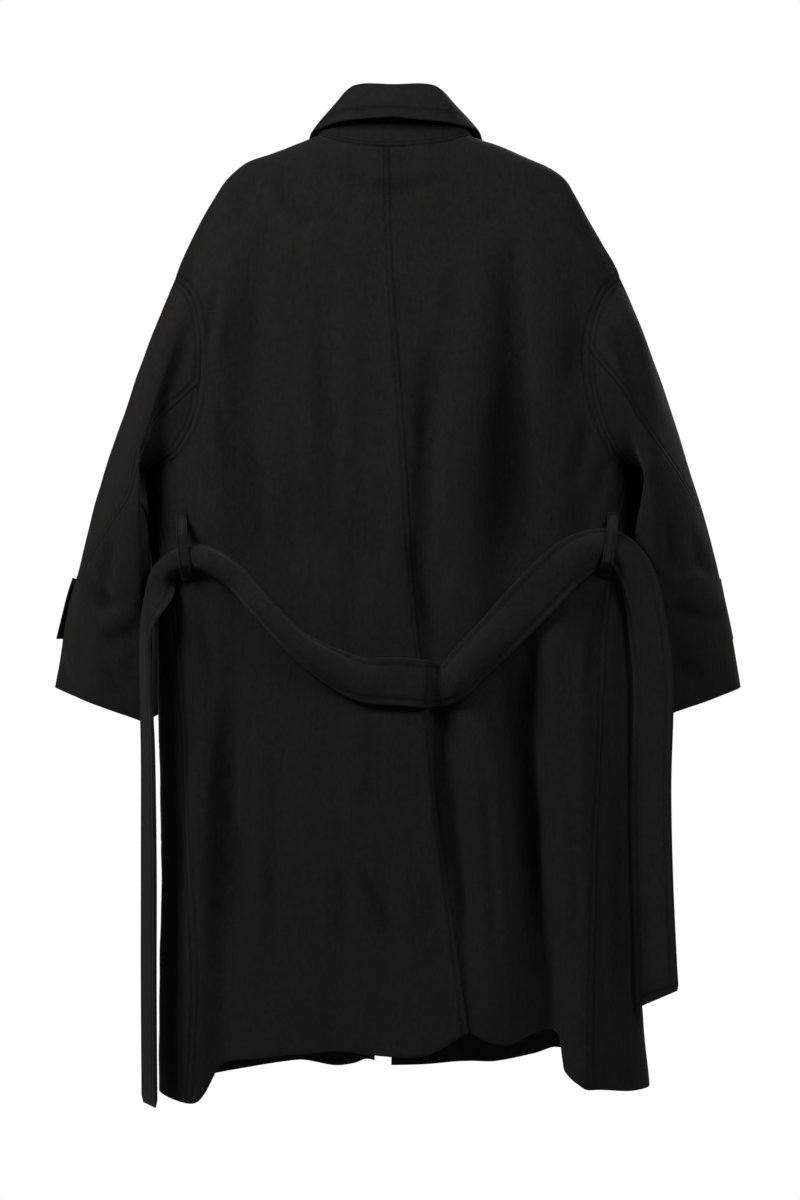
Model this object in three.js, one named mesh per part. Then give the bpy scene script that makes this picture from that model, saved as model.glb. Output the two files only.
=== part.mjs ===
// A belted wool overcoat, hanging filled out with nobody in it and its fronts open.
// Millimetres, +Z up. -Y points out of the coat's back and +X is the wearer's right.
// The origin is the middle of the collar opening at shoulder height, where the coat is held.
import * as THREE from "three";

// Driving sizes
const CLOTH = 2.6; // thickness of the coating cloth
const BELT_CLOTH = 5; // the belt is cloth doubled
const SEAM_RETREAT = 0.2; // each piece stops this far short of its seam line
const CLEARANCE = 0.35; // air between a piece and the cloth that it lies on
const SQUARENESS = 2.3; // exponent of the body's rounded sections, where 2 is an ellipse

// The mesh of the cloth
const NECK_COLUMNS = 4;
const SHOULDER_COLUMNS = 11;
const COLUMNS = NECK_COLUMNS + SHOULDER_COLUMNS;
const SIDE_ROWS = 17;
const ARMHOLE_ROWS = 12;
const ROWS = SIDE_ROWS + ARMHOLE_ROWS;
const VENT_ROWS = 11; // rows of the back that the vent slits, counted from the hem
const VENT_COLUMNS = 2; // columns of the strip that runs on under the other side
const SLEEVE_RINGS = 15;

const LEFT = -1;
const RIGHT = 1;
const BACK = -1;
const FRONT = 1;
const sideName = (side) => (side === LEFT ? "left" : "right");

// Sections of the body: half widths on each side, and depths behind and before its middle
const BODY = [
  { z: -1200, left: 301, right: 318, back: 128, front: 124 },
  { z: -1075, left: 301, right: 306, back: 126, front: 122 },
  { z: -900, left: 298, right: 300, back: 122, front: 118 },
  { z: -720, left: 302, right: 298, back: 118, front: 114 },
  { z: -560, left: 308, right: 295, back: 114, front: 110 },
  { z: -404, left: 316, right: 293, back: 110, front: 104 },
  { z: -280, left: 305, right: 291, back: 102, front: 94 },
  { z: -163, left: 282, right: 279, back: 86, front: 80 },
  { z: -120, left: 264, right: 258, back: 78, front: 74 },
  { z: -87, left: 246, right: 239, back: 71, front: 68 },
  { z: -55, left: 228, right: 222, back: 64, front: 62 },
  { z: -36, left: 214, right: 210, back: 61, front: 60 },
  { z: -20, left: 193, right: 186, back: 59, front: 57 },
  { z: -11, left: 172, right: 166, back: 58, front: 56 },
  { z: 2, left: 138, right: 134, back: 55, front: 53 },
  { z: 16, left: 101, right: 93, back: 52, front: 50 },
];

// The back's middle seam, which hangs askew, and the edges of the two fronts
const MIDDLE_BACK = [
  { z: -1110, x: 87 },
  { z: -877, x: 57 },
  { z: -698, x: 36 },
  { z: -568, x: 22 },
  { z: -346, x: 7 },
  { z: -148, x: -7 },
  { z: 0, x: -11 },
];
const FRONT_EDGE = [
  { z: -1200, left: -31, right: -9 },
  { z: -700, left: -20, right: -6 },
  { z: -70, left: -7, right: -2 },
];

// Where the side seams run, as a share of the half width, always on the back of the section
const SIDE_SEAM = [
  { z: -1200, left: 0.87, right: 0.76 },
  { z: -1043, left: 0.85, right: 0.79 },
  { z: -843, left: 0.885, right: 0.823 },
  { z: -700, left: 0.9, right: 0.855 },
  { z: -570, left: 0.925, right: 0.89 },
  { z: -468, left: 0.96, right: 0.945 },
  { z: -400, left: 1, right: 1 },
];

// The armhole from the shoulder point down to the underarm: height and distance from the middle
const ARMHOLE = [
  { along: 0, z: -163, left: 282, right: 279 },
  { along: 0.187, z: -193, left: 255, right: 254 },
  { along: 0.33, z: -240, left: 245, right: 239 },
  { along: 0.482, z: -292, left: 245, right: 239 },
  { along: 0.63, z: -342, left: 253, right: 250 },
  { along: 0.757, z: -379, left: 273, right: 267 },
  { along: 0.84, z: -392, left: 290, right: 278 },
  { along: 0.913, z: -399, left: 307, right: 287 },
  { along: 1, z: -405, left: 316, right: 293 },
];

// The hem's height, by distance from the middle of the back or front
const HEM_BACK = [
  { x: -300, z: -1180 },
  { x: -272, z: -1201 },
  { x: -248, z: -1176 },
  { x: -224, z: -1146 },
  { x: -185, z: -1134 },
  { x: -98, z: -1123 },
  { x: -72, z: -1121 },
  { x: 2, z: -1128 },
  { x: 36, z: -1125 },
  { x: 61, z: -1113 },
  { x: 86, z: -1099 },
  { x: 106, z: -1108 },
  { x: 136, z: -1114 },
  { x: 170, z: -1104 },
  { x: 198, z: -1105 },
  { x: 205, z: -1150 },
  { x: 258, z: -1176 },
  { x: 310, z: -1186 },
];
const HEM_FRONT = [
  { x: -330, z: -1190 },
  { x: -240, z: -1176 },
  { x: -133, z: -1162 },
  { x: -83, z: -1171 },
  { x: -57, z: -1168 },
  { x: -39, z: -1162 },
  { x: -13, z: -1170 },
  { x: 96, z: -1165 },
  { x: 126, z: -1164 },
  { x: 176, z: -1151 },
  { x: 205, z: -1143 },
  { x: 250, z: -1158 },
  { x: 330, z: -1184 },
];

// Folds of the hanging cloth: a trough is a negative depth, and its two sides have their own widths
const FOLDS = [
  { face: BACK, top: -540, xTop: 149, bottom: -1300, xBottom: 197, depth: -37, left: 28, right: 21 },
  { face: BACK, top: -590, xTop: 226, bottom: -1300, xBottom: 232, depth: 20, left: 30, right: 46 },
  { face: BACK, top: -620, xTop: 100, bottom: -1300, xBottom: 122, depth: 8, left: 30, right: 34 },
  { face: BACK, top: -440, xTop: 38, bottom: -780, xBottom: 52, depth: -10, left: 17, right: 24 },
  { face: BACK, top: -590, xTop: 34, bottom: -1060, xBottom: 92, depth: -22, left: 10, right: 22 },
  { face: BACK, top: -590, xTop: -198, bottom: -1300, xBottom: -222, depth: -24, left: 22, right: 28 },
  { face: BACK, top: -700, xTop: -266, bottom: -1300, xBottom: -264, depth: 9, left: 28, right: 28 },
  { face: BACK, top: -200, xTop: 42, bottom: -640, xBottom: 38, depth: -9, left: 18, right: 20 },
  { face: BACK, top: -200, xTop: -38, bottom: -640, xBottom: -48, depth: -6, left: 20, right: 22 },
  { face: BACK, top: -130, xTop: -124, bottom: -620, xBottom: -112, depth: -5, left: 34, right: 30 },
  { face: BACK, top: -120, xTop: 140, bottom: -560, xBottom: 136, depth: -13, left: 22, right: 22 },
  { face: BACK, top: -320, xTop: 124, bottom: -820, xBottom: 132, depth: -16, left: 34, right: 26 },
  { face: BACK, top: -120, xTop: -198, bottom: -640, xBottom: -188, depth: -15, left: 24, right: 24 },
  { face: BACK, top: -190, xTop: 222, bottom: -640, xBottom: 236, depth: -6, left: 26, right: 26 },
  { face: BACK, top: -700, xTop: -60, bottom: -1300, xBottom: -30, depth: 7, left: 44, right: 40 },
  { face: FRONT, top: -420, xTop: -150, bottom: -1300, xBottom: -182, depth: -11, left: 34, right: 34 },
  { face: FRONT, top: -380, xTop: 150, bottom: -1300, xBottom: 176, depth: -12, left: 34, right: 36 },
  { face: FRONT, top: -560, xTop: -80, bottom: -1300, xBottom: -92, depth: 10, left: 34, right: 34 },
  { face: FRONT, top: -520, xTop: 76, bottom: -1300, xBottom: 84, depth: 9, left: 34, right: 36 },
  { face: FRONT, top: -240, xTop: -205, bottom: -900, xBottom: -236, depth: -9, left: 30, right: 30 },
  { face: FRONT, top: -220, xTop: 200, bottom: -880, xBottom: 232, depth: -9, left: 30, right: 30 },
];
const FOLD_FADE = 150; // length over which a fold dies away at its ends

// The vent: the left back lies over a strip of the right back
const VENT_STRIP = 40;
const VENT_RISE = { height: 6, from: -650, to: -696, reach: 55, fade: 60 };

// Sleeve rings: the outermost and innermost point of each, its depth, its bow towards the body, its turn,
// and how far its front is tucked in before the body
const SLEEVE = [
  {
    along: 0.05, outX: 291, outZ: -188, inLeft: 335, inRight: 311, inZ: -411,
    middle: 0, depth: 84, bow: 28, turn: 0, tuck: 0,
  },
  {
    along: 0.16, outX: 312, outZ: -240, inLeft: 332, inRight: 311, inZ: -434,
    middle: 2, depth: 88, bow: 14, turn: 10, tuck: 16,
  },
  {
    along: 0.3, outX: 341, outZ: -314, inLeft: 317, inRight: 299, inZ: -462,
    middle: 6, depth: 88, bow: 4, turn: 32, tuck: 34,
  },
  {
    along: 0.45, outX: 368, outZ: -390, inLeft: 312, inRight: 295, inZ: -498,
    middle: 14, depth: 82, bow: 0, turn: 44, tuck: 46,
  },
  {
    along: 0.62, outX: 397, outZ: -480, inLeft: 310, inRight: 299, inZ: -552,
    middle: 24, depth: 72, bow: 0, turn: 46, tuck: 60,
  },
  {
    along: 0.78, outX: 419, outZ: -566, inLeft: 309, inRight: 300, inZ: -616,
    middle: 34, depth: 62, bow: 0, turn: 42, tuck: 70,
  },
  {
    along: 0.9, outX: 431, outZ: -628, inLeft: 309, inRight: 300, inZ: -674,
    middle: 40, depth: 56, bow: 0, turn: 38, tuck: 72,
  },
  {
    along: 1, outX: 440, outZ: -680, inLeft: 310, inRight: 300, inZ: -725,
    middle: 44, depth: 52, bow: 0, turn: 34, tuck: 70,
  },
];
// Angles of the back seams and of the front seam round a ring, from the outermost point towards the back
const SLEEVE_SEAMS = [
  { along: 0.05, left: 118, right: 92, front: -96 },
  { along: 0.16, left: 120, right: 92, front: -96 },
  { along: 0.3, left: 105, right: 79, front: -96 },
  { along: 0.45, left: 93, right: 56, front: -98 },
  { along: 0.62, left: 59, right: 24, front: -100 },
  { along: 0.78, left: 18, right: 0, front: -102 },
  { along: 1, left: 6, right: -12, front: -104 },
];
// Rows of the armhole between the shoulder point and each sleeve seam
const BACK_SEAM_ROW = { left: 6, right: 5 };
const FRONT_SEAM_ROW = 6;

// The collar from the middle of the back round to the front: its roll line and its outer edge
const COLLAR = [
  { round: 0, rollX: 0, rollY: -52, rollZ: 69, edgeX: 0, edgeY: -76, edgeZ: 31 },
  { round: 0.5, rollX: 45, rollY: -42, rollZ: 70, edgeX: 66, edgeY: -60, edgeZ: 27 },
  { round: 0.75, rollX: 62, rollY: -24, rollZ: 59, edgeX: 90, edgeY: -34, edgeZ: 24 },
  { round: 1, rollX: 73, rollY: 4, rollZ: 43, edgeX: 107, edgeY: 4, edgeZ: 21 },
  { round: 1.25, rollX: 72, rollY: 32, rollZ: 22, edgeX: 112, edgeY: 50, edgeZ: -2 },
  { round: 1.5, rollX: 60, rollY: 54, rollZ: -2, edgeX: 104, edgeY: 74, edgeZ: -44 },
  { round: 2, rollX: 12, rollY: 80, rollZ: -44, edgeX: 62, edgeY: 96, edgeZ: -108 },
];
const COLLAR_MIDDLE = -5;
const ROLL_RADIUS = 2.6; // inside the turn of the collar
const NECK_ROOM = 0.3; // the stand starts this far above the neck seam
const ROLL_ROOM = 1.6; // the stand stops this far below the turn
const FALL_SWELL = 2.5; // how far the fall bows out between its roll and its edge
const NECK_DROP = 86; // from the side of the neck down to the front

// The belt's middle line from its left end to its right one. It stands off the cloth by off.
// A positive lean brings its upper edge out, and a negative cup bends it like a roof
const BELT_WIDTH = 60;
const BELT = [
  { x: -308, z: -1194, off: 4, lean: -70, cup: 0 },
  { x: -309, z: -1050, off: 4, lean: -70, cup: 0 },
  { x: -309, z: -900, off: 4, lean: -70, cup: 0 },
  { x: -310, z: -760, off: 6, lean: -72, cup: 0 },
  { x: -313, z: -660, off: 8, lean: -74, cup: 0 },
  { x: -312, z: -594, off: 10, lean: -70, cup: -6 },
  { x: -298, z: -536, off: 7, lean: -24, cup: -58 },
  { x: -267, z: -517, off: 3, lean: -2, cup: -62 },
  { x: -240, z: -517, off: 3, lean: 0, cup: -62 },
  { x: -204, z: -537, off: 4, lean: 0, cup: -64 },
  { x: -172, z: -571, off: 5, lean: 0, cup: -66 },
  { x: -128, z: -617, off: 6, lean: 0, cup: -62 },
  { x: -88, z: -645, off: 6, lean: 0, cup: -48 },
  { x: -45, z: -665, off: 6, lean: 0, cup: -28 },
  { x: 2, z: -668, off: 5, lean: 0, cup: -6 },
  { x: 39, z: -671, off: 5, lean: 0, cup: -18 },
  { x: 64, z: -669, off: 5, lean: 0, cup: -36 },
  { x: 88, z: -645, off: 5, lean: 0, cup: -32 },
  { x: 124, z: -609, off: 5, lean: 0, cup: -24 },
  { x: 169, z: -563, off: 5, lean: 0, cup: -6 },
  { x: 211, z: -522, off: 4, lean: 2, cup: -20 },
  { x: 250, z: -503, off: 3, lean: 4, cup: -44 },
  { x: 276, z: -514, off: 5, lean: 14, cup: -46 },
  { x: 297, z: -560, off: 12, lean: 38, cup: -24 },
  { x: 311, z: -620, off: 14, lean: 40, cup: -4 },
  { x: 317, z: -690, off: 12, lean: 40, cup: 0 },
  { x: 314, z: -800, off: 8, lean: 38, cup: 0 },
  { x: 316, z: -920, off: 8, lean: 36, cup: 0 },
  { x: 322, z: -1064, off: 8, lean: 32, cup: 0 },
];
const BELT_STEPS = 104;
const BELT_SLANT = 12; // half the slant of its right end

const LOOP = { width: 14, thick: 3, steps: 16, over: 0.36, under: 0.75, lowest: -560 };
const LOOPS = [
  { side: LEFT, x: -265, tilt: 4, top: -459, bottom: -544 },
  { side: RIGHT, x: 262, tilt: -6, top: -459, bottom: -539 },
];

// A strap is sewn into each back sleeve seam and lies round the front of the sleeve
const STRAP = { from: 0.73, to: 0.88, steps: 4, end: -70, turns: 10 };
const STRAP_START = { left: 8, right: -12 }; // angle round the sleeve where each strap is sewn on
const STRAP_LOOSE = { left: 5, right: 0.4 }; // how far the start of each strap gapes at its lower edge

const COAT = { color: 0x1d1a19, roughness: 0.95, metalness: 0 };

// The value of one column of a table where another column has the value at, as a smooth curve
function read(rows, by, key, at) {
  const last = rows.length - 1;
  const sign = Math.sign(rows[last][by] - rows[0][by]);
  let i = 0;
  while (i < last - 1 && sign * (at - rows[i + 1][by]) > 0) i += 1;
  const slope = (k) => {
    const a = rows[Math.max(0, k - 1)];
    const b = rows[Math.min(last, k + 1)];
    return (b[key] - a[key]) / (b[by] - a[by]);
  };
  const span = rows[i + 1][by] - rows[i][by];
  const q = Math.min(1, Math.max(0, (at - rows[i][by]) / span));
  const [q2, q3] = [q * q, q * q * q];
  return (
    (2 * q3 - 3 * q2 + 1) * rows[i][key] +
    (q3 - 2 * q2 + q) * span * slope(i) +
    (3 * q2 - 2 * q3) * rows[i + 1][key] +
    (q3 - q2) * span * slope(i + 1)
  );
}

const mix = (a, b, t) => a + (b - a) * t;
const vec = (x, y, z) => new THREE.Vector3(x, y, z);
const smooth = (from, to, at) => THREE.MathUtils.smoothstep((at - from) / (to - from), 0, 1);
const halfWidth = (side, z) => read(BODY, "z", sideName(side), z);

// How far folds push the cloth out at a point of the back or front, given its share of the half width
function foldDepth(face, x, z, share) {
  let sum = 0;
  for (const f of FOLDS) {
    if (f.face !== face) continue;
    const along = smooth(f.top, f.top - FOLD_FADE, z) * smooth(f.bottom, f.bottom + FOLD_FADE, z);
    const across = x - mix(f.xTop, f.xBottom, (z - f.top) / (f.bottom - f.top));
    sum += f.depth * along * Math.exp(-((across / (across < 0 ? f.left : f.right)) ** 2));
  }
  return sum * (1 - share ** 10);
}

// The cloth's outer face at x, behind or before the body's middle
function faceY(face, x, z) {
  const share = Math.min(1, Math.abs(x) / halfWidth(x < 0 ? LEFT : RIGHT, z));
  const depth = read(BODY, "z", face === BACK ? "back" : "front", z);
  const round = (1 - share ** SQUARENESS) ** (1 / SQUARENESS);
  return face * (depth * round + foldDepth(face, x, z, share));
}

// A point of the body. u runs outwards from the middle and, past the half width, back on the other face
function bodyPoint(side, face, u, z) {
  const wide = halfWidth(side, z);
  const past = side * u > wide;
  const x = past ? side * (2 * wide - side * u) : u;
  return vec(x, faceY(past ? -face : face, x, z), z);
}

// Pairs [u, z] along the outline of one panel
const armhole = (side, along) => {
  const z = read(ARMHOLE, "along", "z", along);
  return [side * Math.min(halfWidth(side, z), read(ARMHOLE, "along", sideName(side), along)), z];
};
const seamAcross = (side, z) => side * halfWidth(side, z) * read(SIDE_SEAM, "z", sideName(side), z);
const onFront = (side, [u, z]) => [side * (2 * halfWidth(side, z)) - u, z];

// Rows crowd together at the shoulder and the underarm, where the cloth turns fastest
const CROWDING = 0.45;
function armholeShare(row) {
  const q = row / ARMHOLE_ROWS;
  return q - (CROWDING * Math.sin(2 * Math.PI * q)) / (2 * Math.PI);
}
function rowShare(row) {
  const split = SIDE_ROWS / ROWS;
  if (row <= SIDE_ROWS) return row / ROWS;
  return 1 - (1 - split) * armholeShare(ROWS - row);
}

function outerEdge(side, face, t, hemZ) {
  const split = SIDE_ROWS / ROWS;
  if (t > split) {
    return armhole(side, 1 - (t - split) / (1 - split));
  }
  const [, footZ] = armhole(side, 1);
  const z = mix(hemZ, footZ, t / split);
  const spot = [seamAcross(side, z), z];
  return face === BACK ? spot : onFront(side, spot);
}

function shoulder(side, q) {
  const z = mix(BODY[BODY.length - 1].z, ARMHOLE[0].z, q ** 1.5);
  return [side * halfWidth(side, z), z];
}
const neckEnd = (side) => shoulder(side, 0);
function neck(side, face, q) {
  const [endX, endZ] = neckEnd(side);
  const turn = (q * Math.PI) / 2;
  if (face === BACK) {
    const startX = read(MIDDLE_BACK, "z", "x", 0);
    return [mix(startX, endX, Math.sin(turn)), endZ - 19 * Math.cos(turn) ** 1.4];
  }
  const startX = innerX(side, FRONT, endZ - NECK_DROP);
  return [mix(startX, endX, Math.sin(turn) ** 0.95), endZ - NECK_DROP * Math.cos(turn) ** 1.3];
}
function innerX(side, face, z) {
  if (face === BACK) return read(MIDDLE_BACK, "z", "x", z);
  return read(FRONT_EDGE, "z", sideName(side), z);
}

// A panel's outline filled in: rows from hem to top, and columns from the middle to the side
function panelSpots(side, face) {
  const hem = face === BACK ? HEM_BACK : HEM_FRONT;
  const hemAt = (u) => read(hem, "x", "z", u);
  const top = (s) => {
    const split = NECK_COLUMNS / COLUMNS;
    if (s <= split) return neck(side, face, s / split);
    return shoulder(side, (s - split) / (1 - split));
  };
  const [, neckZ] = top(0);
  const innerFoot = innerX(side, face, -1110);
  const hemInner = hemAt(innerFoot);
  const sideHem = read(HEM_BACK, "x", "z", seamAcross(side, -1165));
  const inner = (t) => {
    const z = mix(hemInner, neckZ, t);
    return [innerX(side, face, z), z];
  };
  const outer = (t) => outerEdge(side, face, t, sideHem);
  const bottom = (s) => {
    const u = mix(inner(0)[0], outer(0)[0], s);
    const free = face === BACK || side * u < halfWidth(side, -1165);
    const z = hemAt(free ? u : side * halfWidth(side, -1165));
    return [u, mix(z, sideHem, smooth(0.86, 1, s))];
  };
  const corner = { a: inner(0), b: outer(0), c: inner(1), d: outer(1) };
  return (s, t) =>
    [0, 1].map((k) => {
      const pull = s * s;
      const edges = mix(bottom(s)[k], top(s)[k], t) + mix(inner(t)[k], outer(t)[k], pull);
      return edges - mix(mix(corner.a[k], corner.b[k], pull), mix(corner.c[k], corner.d[k], pull), t);
    });
}

// The left back rises near the vent, to lie over the strip of the right back
function ventRise(side, face, x, z) {
  if (face !== BACK || side !== LEFT) return 0;
  const across = Math.abs(read(MIDDLE_BACK, "z", "x", z) - x);
  const low = smooth(VENT_RISE.from, VENT_RISE.to, z);
  return VENT_RISE.height * low * (1 - smooth(VENT_RISE.reach, VENT_RISE.reach + VENT_RISE.fade, across));
}

function panelGrid(side, face) {
  const spot = panelSpots(side, face);
  const point = (s, t) => {
    const [u, z] = spot(s, t);
    const p = bodyPoint(side, face, u, z);
    p.y -= ventRise(side, face, p.x, z);
    return p;
  };
  const grid = [];
  for (let r = 0; r <= ROWS; r += 1) {
    const t = rowShare(r);
    const even = evenShares((s) => point(s, t), COLUMNS);
    const keep = smooth(0.55, 0.9, t);
    grid.push(even.map((e, c) => point(mix(e, c / COLUMNS, keep), t)));
  }
  return grid;
}

// Shares of a path that cut it into equal lengths
function evenShares(point, count) {
  const fine = 96;
  const spots = Array.from({ length: fine + 1 }, (_, i) => point(i / fine));
  const run = [0];
  for (let i = 1; i <= fine; i += 1) run.push(run[i - 1] + spots[i].distanceTo(spots[i - 1]));
  return Array.from({ length: count + 1 }, (_, c) => {
    const goal = (run[fine] * c) / count;
    let i = 1;
    while (i < fine && run[i] < goal) i += 1;
    return (i - 1 + (goal - run[i - 1]) / (run[i] - run[i - 1])) / fine;
  });
}

// The strip of the right back that runs on under the left one, as columns before the first
function withVentStrip(grid) {
  return grid.map((row, r) => {
    const strip = [];
    for (let k = VENT_COLUMNS; k >= 1; k -= 1) {
      const z = row[0].z;
      const x = row[0].x - (VENT_STRIP * k) / VENT_COLUMNS;
      strip.push(r <= VENT_ROWS ? vec(x, faceY(BACK, x, z), z) : null);
    }
    return [...strip, ...row];
  });
}

// Sleeve
function sleeveAngle(side, part, along, share) {
  const back = read(SLEEVE_SEAMS, "along", sideName(side), along);
  const front = read(SLEEVE_SEAMS, "along", "front", along);
  const [from, to] = part === "upper" ? [front, back] : [back, 360 + front];
  return (mix(from, to, share) * Math.PI) / 180;
}
function sleeveRingPoint(side, row, angle) {
  const out = vec(row.outX, 0, row.outZ);
  const inside = vec(side === LEFT ? row.inLeft : row.inRight, 0, row.inZ);
  const middle = out.clone().add(inside).multiplyScalar(0.5);
  const arm = out.clone().sub(middle);
  const front = Math.max(0, -Math.sin(angle)) ** 4;
  const bow = vec(-row.bow * Math.sin(angle) ** 2 - row.tuck * front, 0, 0);
  const p = middle.addScaledVector(arm, Math.cos(angle)).add(bow);
  return vec(side * p.x, row.middle - row.depth * Math.sin(angle) + row.turn * Math.cos(angle), p.z);
}
function armholeLoop(side) {
  const loop = [];
  for (let i = 0; i <= ARMHOLE_ROWS; i += 1) {
    loop.push(bodyPoint(side, BACK, ...armhole(side, armholeShare(i))));
  }
  for (let i = ARMHOLE_ROWS - 1; i >= 1; i -= 1) {
    loop.push(bodyPoint(side, FRONT, ...armhole(side, armholeShare(i))));
  }
  return loop;
}
function sleeveGrid(side, part) {
  const loop = armholeLoop(side);
  const count = loop.length;
  const backRow = BACK_SEAM_ROW[sideName(side)];
  const from = part === "upper" ? -FRONT_SEAM_ROW : backRow;
  const to = part === "upper" ? backRow : count - FRONT_SEAM_ROW;
  const grid = Array.from({ length: SLEEVE_RINGS + 1 }, () => []);
  for (let c = from; c <= to; c += 1) {
    const share = (c - from) / (to - from);
    const start = loop[(c + count) % count];
    const knots = [{ along: 0, x: start.x, y: start.y, z: start.z }];
    for (const row of SLEEVE) {
      const p = sleeveRingPoint(side, row, sleeveAngle(side, part, row.along, share));
      knots.push({ along: row.along, x: p.x, y: p.y, z: p.z });
    }
    for (let r = 0; r <= SLEEVE_RINGS; r += 1) {
      const along = r / SLEEVE_RINGS;
      grid[r].push(vec(...["x", "y", "z"].map((k) => read(knots, "along", k, along))));
    }
  }
  return grid;
}

// Collar
function neckSeam() {
  const seam = [];
  const add = (side, face, q) => {
    seam.push({ side, face, q, p: bodyPoint(side, face, ...neck(side, face, q)) });
  };
  for (let i = 0; i <= NECK_COLUMNS; i += 1) add(LEFT, FRONT, i / NECK_COLUMNS);
  for (let i = NECK_COLUMNS - 1; i >= 0; i -= 1) add(LEFT, BACK, i / NECK_COLUMNS);
  for (let i = 1; i <= NECK_COLUMNS; i += 1) add(RIGHT, BACK, i / NECK_COLUMNS);
  for (let i = NECK_COLUMNS - 1; i >= 0; i -= 1) add(RIGHT, FRONT, i / NECK_COLUMNS);
  return seam;
}
function collarLine(name, { side, face, q }) {
  const round = face === BACK ? q : 2 - q;
  const [x, y, z] = ["X", "Y", "Z"].map((k) => read(COLLAR, "round", name + k, round));
  return vec(COLLAR_MIDDLE * Math.cos((round * Math.PI) / 4) + side * x, y, z);
}
function standGrid() {
  const rows = 3;
  const seam = neckSeam();
  return Array.from({ length: rows + 1 }, (_, r) =>
    seam.map((s) => {
      const roll = collarLine("roll", s);
      roll.z -= ROLL_ROOM;
      const foot = s.p.clone();
      foot.z += NECK_ROOM;
      return foot.lerp(roll, r / rows);
    }),
  );
}
function fallGrid() {
  const seam = neckSeam();
  const lines = seam.map((s) => ({ roll: collarLine("roll", s), edge: collarLine("edge", s) }));
  const turns = [180, 130, 80, 30];
  const drop = 4;
  const column = ({ roll, edge }, i) => {
    const before = lines[Math.max(0, i - 1)].roll;
    const after = lines[Math.min(lines.length - 1, i + 1)].roll;
    const run = after.clone().sub(before).setZ(0).normalize();
    const out = vec(run.y, -run.x, 0).negate();
    if (out.dot(vec(roll.x, roll.y, 0)) < 0) out.negate();
    const centre = roll.clone().addScaledVector(out, ROLL_RADIUS).add(vec(0, 0, SEAM_RETREAT));
    const around = (degrees) => {
      const a = (degrees * Math.PI) / 180;
      const reach = ROLL_RADIUS + CLOTH;
      return centre.clone().addScaledVector(out, reach * Math.cos(a)).add(vec(0, 0, reach * Math.sin(a)));
    };
    const start = around(turns[turns.length - 1]);
    const leaf = Array.from({ length: drop }, (_, k) => {
      const q = (k + 1) / drop;
      return start.clone().lerp(edge, q).addScaledVector(out, FALL_SWELL * Math.sin(q * Math.PI));
    });
    return [...turns.map(around), ...leaf];
  };
  const columns = lines.map(column);
  return columns[0].map((_, r) => columns.map((c) => c[r]));
}

// Wall of cloth on a grid of outer points. Missing points leave their cells out
const corners = (grid, r, c) => [grid[r]?.[c], grid[r]?.[c + 1], grid[r + 1]?.[c + 1], grid[r + 1]?.[c]];
const quadNormal = (a, b, c, d) => c.clone().sub(a).cross(d.clone().sub(b));
const keyOf = (p) => [p.x, p.y, p.z].map((n) => Math.round(n * 20)).join();
function gridNormals(grid) {
  return grid.map((row, r) =>
    row.map((p, c) => {
      const sum = vec(0, 0, 0);
      for (const [i, j] of [[0, 0], [-1, 0], [0, -1], [-1, -1]]) {
        const cell = corners(grid, r + i, c + j);
        if (cell.every(Boolean)) sum.add(quadNormal(...cell));
      }
      return sum;
    }),
  );
}
// Turns each grid so that its normals point away from the body's inside
function facingOut(grid, inside) {
  const normals = gridNormals(grid);
  const [r, c] = [Math.floor(grid.length / 2), Math.floor(grid[0].length / 2)];
  const away = grid[r][c].clone().sub(inside);
  return normals[r][c].dot(away) > 0 ? grid : grid.map((row) => [...row].reverse());
}
const hasCell = (grid, r, c) => c >= 0 && r >= 0 && corners(grid, r, c).every(Boolean);

// Draws the rim of a grid back from its seams
function retreated(grid, normals, thick, retreat) {
  const outer = grid.map((row) => row.map((p) => p && p.clone()));
  const inner = grid.map((row, r) => row.map((p, c) => p && p.clone().addScaledVector(normals[r][c], -thick)));
  const pull = (r, c, r2, c2) => {
    const way = grid[r2][c2].clone().sub(grid[r][c]).normalize();
    outer[r][c].addScaledVector(way, retreat);
    inner[r][c].addScaledVector(way, retreat);
  };
  grid.forEach((row, r) =>
    row.forEach((p, c) => {
      if (!p) return;
      const cell = (i, j) => hasCell(grid, r + i, c + j);
      const [left, right] = [cell(0, -1) || cell(-1, -1), cell(0, 0) || cell(-1, 0)];
      const [down, up] = [cell(-1, 0) || cell(-1, -1), cell(0, 0) || cell(0, -1)];
      if (left !== right) pull(r, c, r, right ? c + 1 : c - 1);
      if (up !== down) pull(r, c, up ? r + 1 : r - 1, c);
    }),
  );
  return { outer, inner };
}
// Both sides of a seam split its rim along the same diagonals
const comesFirst = (a, b) => a.z < b.z || (a.z === b.z && a.y < b.y);
function wallGeometry(grid, normals, thick, retreat) {
  const { outer, inner } = retreated(grid, normals, thick, retreat);
  const positions = [];
  const face = (a, b, c) => positions.push(...a.toArray(), ...b.toArray(), ...c.toArray());
  const quad = (a, b, c, d) => {
    face(a, b, c);
    face(a, c, d);
  };
  for (let r = 0; r < grid.length - 1; r += 1) {
    for (let c = 0; c < grid[r].length - 1; c += 1) {
      if (!hasCell(grid, r, c)) continue;
      quad(...corners(outer, r, c));
      quad(...corners(inner, r, c).reverse());
      const sides = [[-1, 0, 0, 1], [0, 1, 1, 2], [1, 0, 2, 3], [0, -1, 3, 0]];
      for (const [dr, dc, i, j] of sides) {
        if (hasCell(grid, r + dr, c + dc)) continue;
        const [o, n, g] = [outer, inner, grid].map((layer) => corners(layer, r, c));
        if (comesFirst(g[i], g[j])) quad(o[i], n[i], n[j], o[j]);
        else quad(o[j], o[i], n[i], n[j]);
      }
    }
  }
  return new THREE.BufferGeometry().setAttribute("position", new THREE.Float32BufferAttribute(positions, 3));
}

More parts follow.
